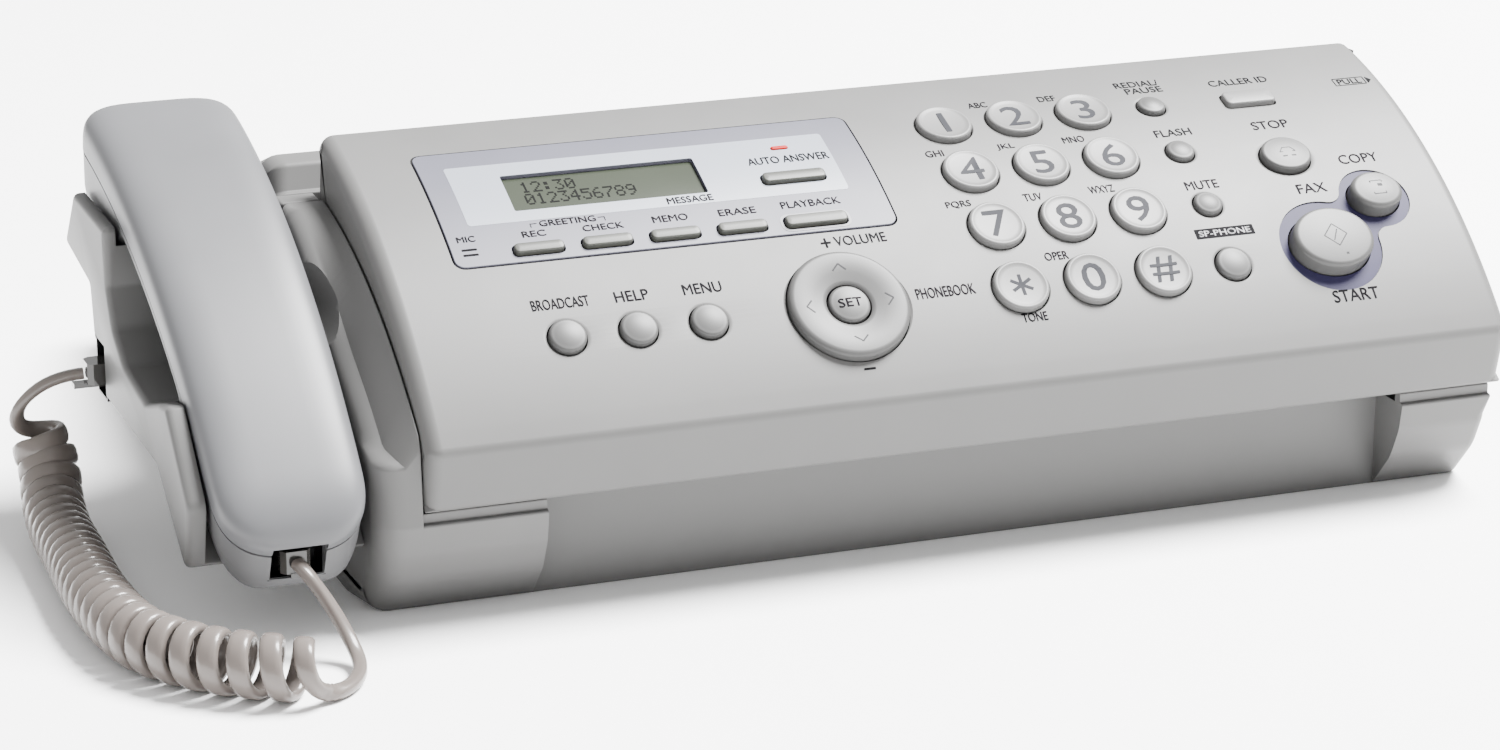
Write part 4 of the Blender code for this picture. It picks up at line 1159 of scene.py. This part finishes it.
def make_base():
    tops = [-43.9 - 2.2 * step for step in reversed(range(40))]
    shoulder = list(FRONT_PROFILE) + [(-132.6, 27.0, 5.0), (-131.4, 47.4, 6.0)]
    shoulder += [(y, shoulder_z(y), 0) for y in tops]
    shoulder += [(SHOULDER_BACK_Y, 80.0, 0), (*PARTING_FRONT, 0), (*PARTING_REAR, 0), (137.0, 0.0, 1.0)]
    shoulder += [(-100.0, 0.0, 0)]
    bm = rounded_prism(round_corners(shoulder), BASE_LOW.x, SHOULDER_RIGHT, base_side_radius, 0.4, 6)
    slope_shoulder(bm)
    base = make_object("base_shell", bm, CASING)
    scoop = bmesh.new()
    bmesh.ops.create_uvsphere(scoop, u_segments=96, v_segments=64, radius=SCOOP_RADIUS)
    bmesh.ops.scale(scoop, vec=(1.0, SCOOP_STRETCH, 1.0), verts=scoop.verts)
    bmesh.ops.translate(scoop, vec=SCOOP_CENTRE, verts=scoop.verts)
    carve(base, [scoop])
    under = list(FRONT_PROFILE) + [(-132.6, 27.4, 0.8), (-131.0, 27.5, 0.3), (-131.0, 30.2, 0.5)]
    under += [(-127.8, 30.2, 0.2), (-127.0, 46.0, 0)]
    under += [(*arc_point(163.0, 44 - 3 * step), 0) for step in range(7)]
    under += [(-58.0, 82.0, 0), (-42.0, 80.0, 0), (*PARTING_FRONT, 0), (*PARTING_REAR, 0), (137.0, 0.0, 1.0)]
    wide = rounded_prism(round_corners(under), SHOULDER_RIGHT - 0.6, BASE_HIGH.x, 0.01, base_right_radius, 5)
    carve(base, [wide], "UNION")

    right = [(-115.0, -1.0), (-115.0, 120.0), (134.5, 120.0), (134.5, -1.0)]
    inside = (INSIDE_LEFT, BASE_HIGH.x - BASE_WALL)
    recess = round_corners([(-140.0, -1.0, 0), (RECESS_Y, -1.0, 0), (RECESS_Y, 40.0, 0), (-140.0, 40.0, 0)])
    recess_room = rounded_prism(recess, *RECESS_X, 0.01, 0.01, 1)
    mouth = box(RECESS_X, (-120, -110), (26.0, 60))
    front_room = box(inside, (-128.2, -112.0), (27.2, 120))
    skirt = [(-150.0, 30.0), (-118.0, 30.0), (-46.0, 83.3), (-30.0, 90.0), (-30.0, 120.0), (-150.0, 120.0)]
    skirt_room = prism(skirt, COVER_LOW.x - 0.4, COVER_LOW.x + 2.9)
    carve(base, [prism(right, *inside), recess_room, mouth, front_room, skirt_room])
    shelf = box((RECESS_X[0] - 1, RECESS_X[1] + 1), (RECESS_Y + 0.5, -92.0), (23.4, 26.0))
    carve(base, [shelf], "UNION")
    settle(base)
    place(base, "cabinet", "base_cabinet", slot="casing")


def make_back_cover():
    points = [(-35.4, 90.0, 0.6), (-33.4, 90.0, 0.6), (-30.0, 97.0, 2.2), (-20.0, 97.0, 5.0)]
    points += [(-8.0, 92.6, 6.0), (122.0, 47.0, 8.0), (133.0, 41.0, 5.0), (137.0, 33.0, 3.0)]
    points += [(137.0, 30.6, 0.2), (-35.4, 82.2, 0.2)]
    outline = round_corners(points)
    bm = rounded_prism(outline, BASE_LOW.x, BASE_HIGH.x, back_cover_rounding, back_cover_rounding, 6)
    cover = make_object("rear_deck", bm, CASING)
    inner = [(-32.9, 60.0), (-32.9, 87.4), (-31.0, 88.0), (-28.5, 94.4), (-20.4, 94.4), (-8.8, 90.0)]
    inner += [(121.2, 44.4), (131.4, 38.8), (134.5, 32.6), (134.5, 20.0)]
    hollow = prism(inner, BASE_LOW.x + 5.0, BASE_HIGH.x - 5.0)
    carve(cover, [hollow, box((-84, 146), (0.0, 16.0), (70, 100))])
    place(cover, "back_cover_body", "back_cover", slot="casing")
    ear = [(SHOULDER_BACK_Y + 0.4, 83.0, 0.3), (SHOULDER_BACK_Y + 0.4, 89.8, 0.8)]
    ear += [(-35.7, 89.8, 0.5), (-35.7, 83.0, 0.3)]
    bm = rounded_prism(round_corners(ear), BASE_LOW.x + 0.3, COVER_LOW.x - 1.2, 1.0, 0.5)
    place(make_object("rear_deck_ear", bm, CASING), "back_cover_body", slot="casing")


def back_cover_rounding(point):
    """Round ends on the hump, square ones on the parting line under it."""
    line = 82.0 - 0.3 * (point.x + 36.0)
    return 0.3 if point.y < line + 3.0 else min(6.0, 0.3 + 0.8 * (point.y - line - 3.0))


def handset_line(distance, offset):
    """A point (y, z) on the handset's seam line, moved square to it by an offset."""
    slope = HANDSET_SLOPE + HANDSET_CURVE * distance
    along = (math.sin(slope) - math.sin(HANDSET_SLOPE)) / HANDSET_CURVE
    down = (math.cos(HANDSET_SLOPE) - math.cos(slope)) / HANDSET_CURVE
    y = HANDSET_START[0] - along - offset * math.sin(slope)
    z = HANDSET_START[1] - down + offset * math.cos(slope)
    return (y, z)


def bump(distance, start, end, ramp):
    low = min(1.0, max(0.0, (distance - start) / ramp), max(0.0, (end - distance) / ramp))
    return low * low * (3 - 2 * low)


def handset_depth(distance):
    """How far the inner shell reaches below the seam."""
    ear = 16.0 * bump(distance, -6.0, 56.0, 12.0)
    mouth = 9.0 * bump(distance, 112.0, 180.0, 16.0)
    return 4.5 + max(ear - 2.0, 0) + mouth


def make_cradle():
    points = [(-1.0, 86.4, 2.0), (13.3, 69.0, 2.0), (-17.2, 64.8, 1.5), (-19.6, 52.4, 2.0)]
    points += [(-29.9, 37.2, 2.0), (-90.1, 36.8, 4.0), (-119.6, 16.8, 3.0), (-124.4, 36.6, 4.0)]
    points += [(-103.8, 56.8, 2.0), (-95.4, 55.3, 2.0), (-80.0, 50.6, 6.0), (-56.0, 53.0, 8.0)]
    points += [(-44.0, 60.0, 6.0), (-38.4, 70.0, 3.0), (-38.3, 86.0, 1.5)]
    bm = rounded_prism(round_corners(points), CRADLE_LOW.x, CRADLE_HIGH.x, 1.8, 0.2, 4)
    cradle = make_object("cradle_shell", bm, CASING)
    ear = [handset_line(d / 2, -handset_depth(d / 2) - SEAT_GAP) for d in range(-6, 125, 3)]
    ear = [(ear[0][0], 120.0)] + ear + [(ear[-1][0] - 20.0, 120.0)]
    rear_seat = prism(ear, HANDSET_X - HANDSET_HALF_REAR - 0.5, CRADLE_HIGH.x + 1)
    mouth = [handset_line(d, -handset_depth(d) - SEAT_GAP) for d in range(100, 166, 2)]
    lift = Vector((-math.sin(math.radians(22)), math.cos(math.radians(22)))) * 60
    front, rear = mouth[-1], mouth[0]
    mouth += [(front[0] + lift.x - 20, front[1] + lift.y), (rear[0] + lift.x + 12, rear[1] + lift.y)]
    front_seat = prism(mouth, HANDSET_X - HANDSET_HALF_FRONT - 1.2, CRADLE_HIGH.x + 1)
    jack = box((-190, -171), (-33.0, -21.6), (36.4, 52.6))
    carve(cradle, [rear_seat, front_seat, jack])
    soften(cradle, 0.6, 2, 50)
    place(cradle, "cabinet", "handset_cradle", slot="casing")
    # A near-black shell of painted shade lines the cord jack, standing in for the darkness inside it.
    shade_liner = box((-183.2, -171.4), (-32.8, -21.8), (36.6, 52.4))
    socket = make_object("jack_shade_liner", shade_liner, SOCKET_SHADE)
    carve(socket, [box((-190, -172.6), (-32.2, -22.4), (37.2, 51.8))])
    place(socket, "cabinet", slot="sensor")


# ---------------------------------------------------------------- handset

REAR_ROUND = 14.0
FRONT_ROUND = 20.0
NOSE_RAKE = 0.42


def handset_stations():
    """Distance along the seam, then the share of the half width, of the crown and of the depth that is left
    there."""
    rows = []
    for step in range(12):
        share = math.cos(math.radians(90 * step / 12))
        width = (1 - 0.97 * share**3.0) ** (1 / 3.2)
        crown = (1 - 0.97 * share**4.0) ** (1 / 3.0)
        depth = (1 - 0.6 * share**6.0) ** (1 / 2.0)
        rows.append((REAR_ROUND * (1 - share), width, crown, depth))
    last = HANDSET_LENGTH - FRONT_ROUND
    rows += [(REAR_ROUND + (last - REAR_ROUND) * step / 46, 1.0, 1.0, 1.0) for step in range(1, 46)]
    for step in range(19):
        share = math.sin(math.radians(90 * step / 18.3))
        width = (1 - share**2.8) ** (1 / 2.8)
        crown = (1 - share**3.0) ** (1 / 2.2)
        depth = (1 - share**9.0) ** (1 / 3.0)
        rows.append((last + FRONT_ROUND * share, width, crown, depth))
    return rows


def loft_handset(section):
    """Rings of section points (x, offset from the seam), whose lower part leans forward at the nose."""
    bm = bmesh.new()
    loops = []
    for distance, width, crown, depth in handset_stations():
        half = HANDSET_HALF_REAR + (HANDSET_HALF_FRONT - HANDSET_HALF_REAR) * distance / HANDSET_LENGTH
        slope = HANDSET_SLOPE + HANDSET_CURVE * distance
        lean = NOSE_RAKE * bump(distance, 142.0, 400.0, 26.0)
        ring = []
        for x, offset in section(distance, half * width, crown, depth):
            y, z = handset_line(distance, offset)
            ahead = lean * max(0.0, -offset)
            spot = (HANDSET_X + x, y - ahead * math.cos(slope), z - ahead * math.sin(slope))
            ring.append(bm.verts.new(spot))
        loops.append(ring)
    return skin(bm, loops)


def outer_section(distance, half, crown_share, _):
    """A flat-topped arch over an upright side: a superellipse over the seam."""
    crown = 0.5 + (11.1 - 3.0 * distance / HANDSET_LENGTH) * crown_share
    points = []
    for step in range(29):
        turn = math.pi * step / 28
        across = math.copysign(abs(math.cos(turn)) ** 0.42, math.cos(turn))
        over = max(0.0, math.sin(turn)) ** 0.5
        points.append((half * across, 0.4 + (crown - 0.4) * over))
    return points


def inner_section(distance, half, _, depth_share):
    """An upright side under the seam, tall at the ear and the mouth, and then a soft tub."""
    depth = 3.4 + (handset_depth(distance) - 3.4) * depth_share
    upright = clamp((depth - 4.5) / 6.0)
    rim = max(0.5, half - 0.15)
    wall = min(2.6, depth * 0.6) * (1 - upright) + depth * 0.55 * upright
    slope = min(3.0 - 1.6 * upright, rim * 0.3)
    soft = min(4.0, depth * 0.4)
    points = [(rim, -0.4, 0), (-rim, -0.4, 0), (-rim + 0.2, -wall, min(1.5, soft))]
    points += [(slope - rim, -depth, soft), (rim - slope, -depth, soft), (rim - 0.2, -wall, min(1.5, soft))]
    return [tuple(point) for point in round_corners(points, 4)]


def socket_box(half, y, z):
    return box((HANDSET_X - half, HANDSET_X + half), y, z)


def make_handset():
    outer = make_object("handset_back", loft_handset(outer_section), HANDSET, 40)
    # The lower shell takes the darker copy of the handset plastic, which paints shade on its side.
    inner = make_object("handset_face", loft_handset(inner_section), HANDSET_UNDER_SHADED, 40)
    carve(inner, [socket_box(7.1, (-148.0, -123.0), (18.0, 26.4))], smooth=38)
    carve(outer, [socket_box(7.1, (-148.0, -133.4), (18.0, 27.6))], smooth=38)
    # A near-black shell of painted shade lines the socket opening, standing in for the darkness inside it.
    shade_liner = make_object("handset_socket_shade_liner", socket_box(7.5, (-131.5, -122.2), (17.6, 26.8)), SOCKET_SHADE)
    carve(shade_liner, [socket_box(6.8, (-140.0, -123.2), (18.3, 26.1))])
    place(shade_liner, "handset", slot="sensor")
    place(outer, "handset", "handset_outer_shell", slot="handset")
    place(inner, "handset", "handset_inner_shell", slot="handset")


# ---------------------------------------------------------------- inner mechanism


def paint_inside():
    finishes = (
        (STEEL, ("bottom_plate", "thermal_head", "drive_motor", "motor_pinion")),
        (BOARD, ("panel_board", "main_board")),
        (BLACK, ("image_sensor", "loudspeaker", "receiver_capsule")),
        (RUBBER, ("document_feed_roller", "platen_roller", "pickup_roller")),
        (FILM, ("film_supply_spool", "film_takeup_spool")),
        (GEAR, ("idler_gear",)),
        (KEY, ("hook_switch",)),
    )
    for finish, nodes in finishes:
        for node in nodes:
            paint(node, finish)


def main():
    make_camera()
    make_cord()
    make_stage()
    make_light()
    make_front_cover()
    make_dish()
    make_bezel()
    make_display()
    make_round_keys()
    make_bar_keys()
    make_navigator()
    make_printing()
    make_base()
    make_back_cover()
    make_cradle()
    make_handset()
    paint_inside()


main()
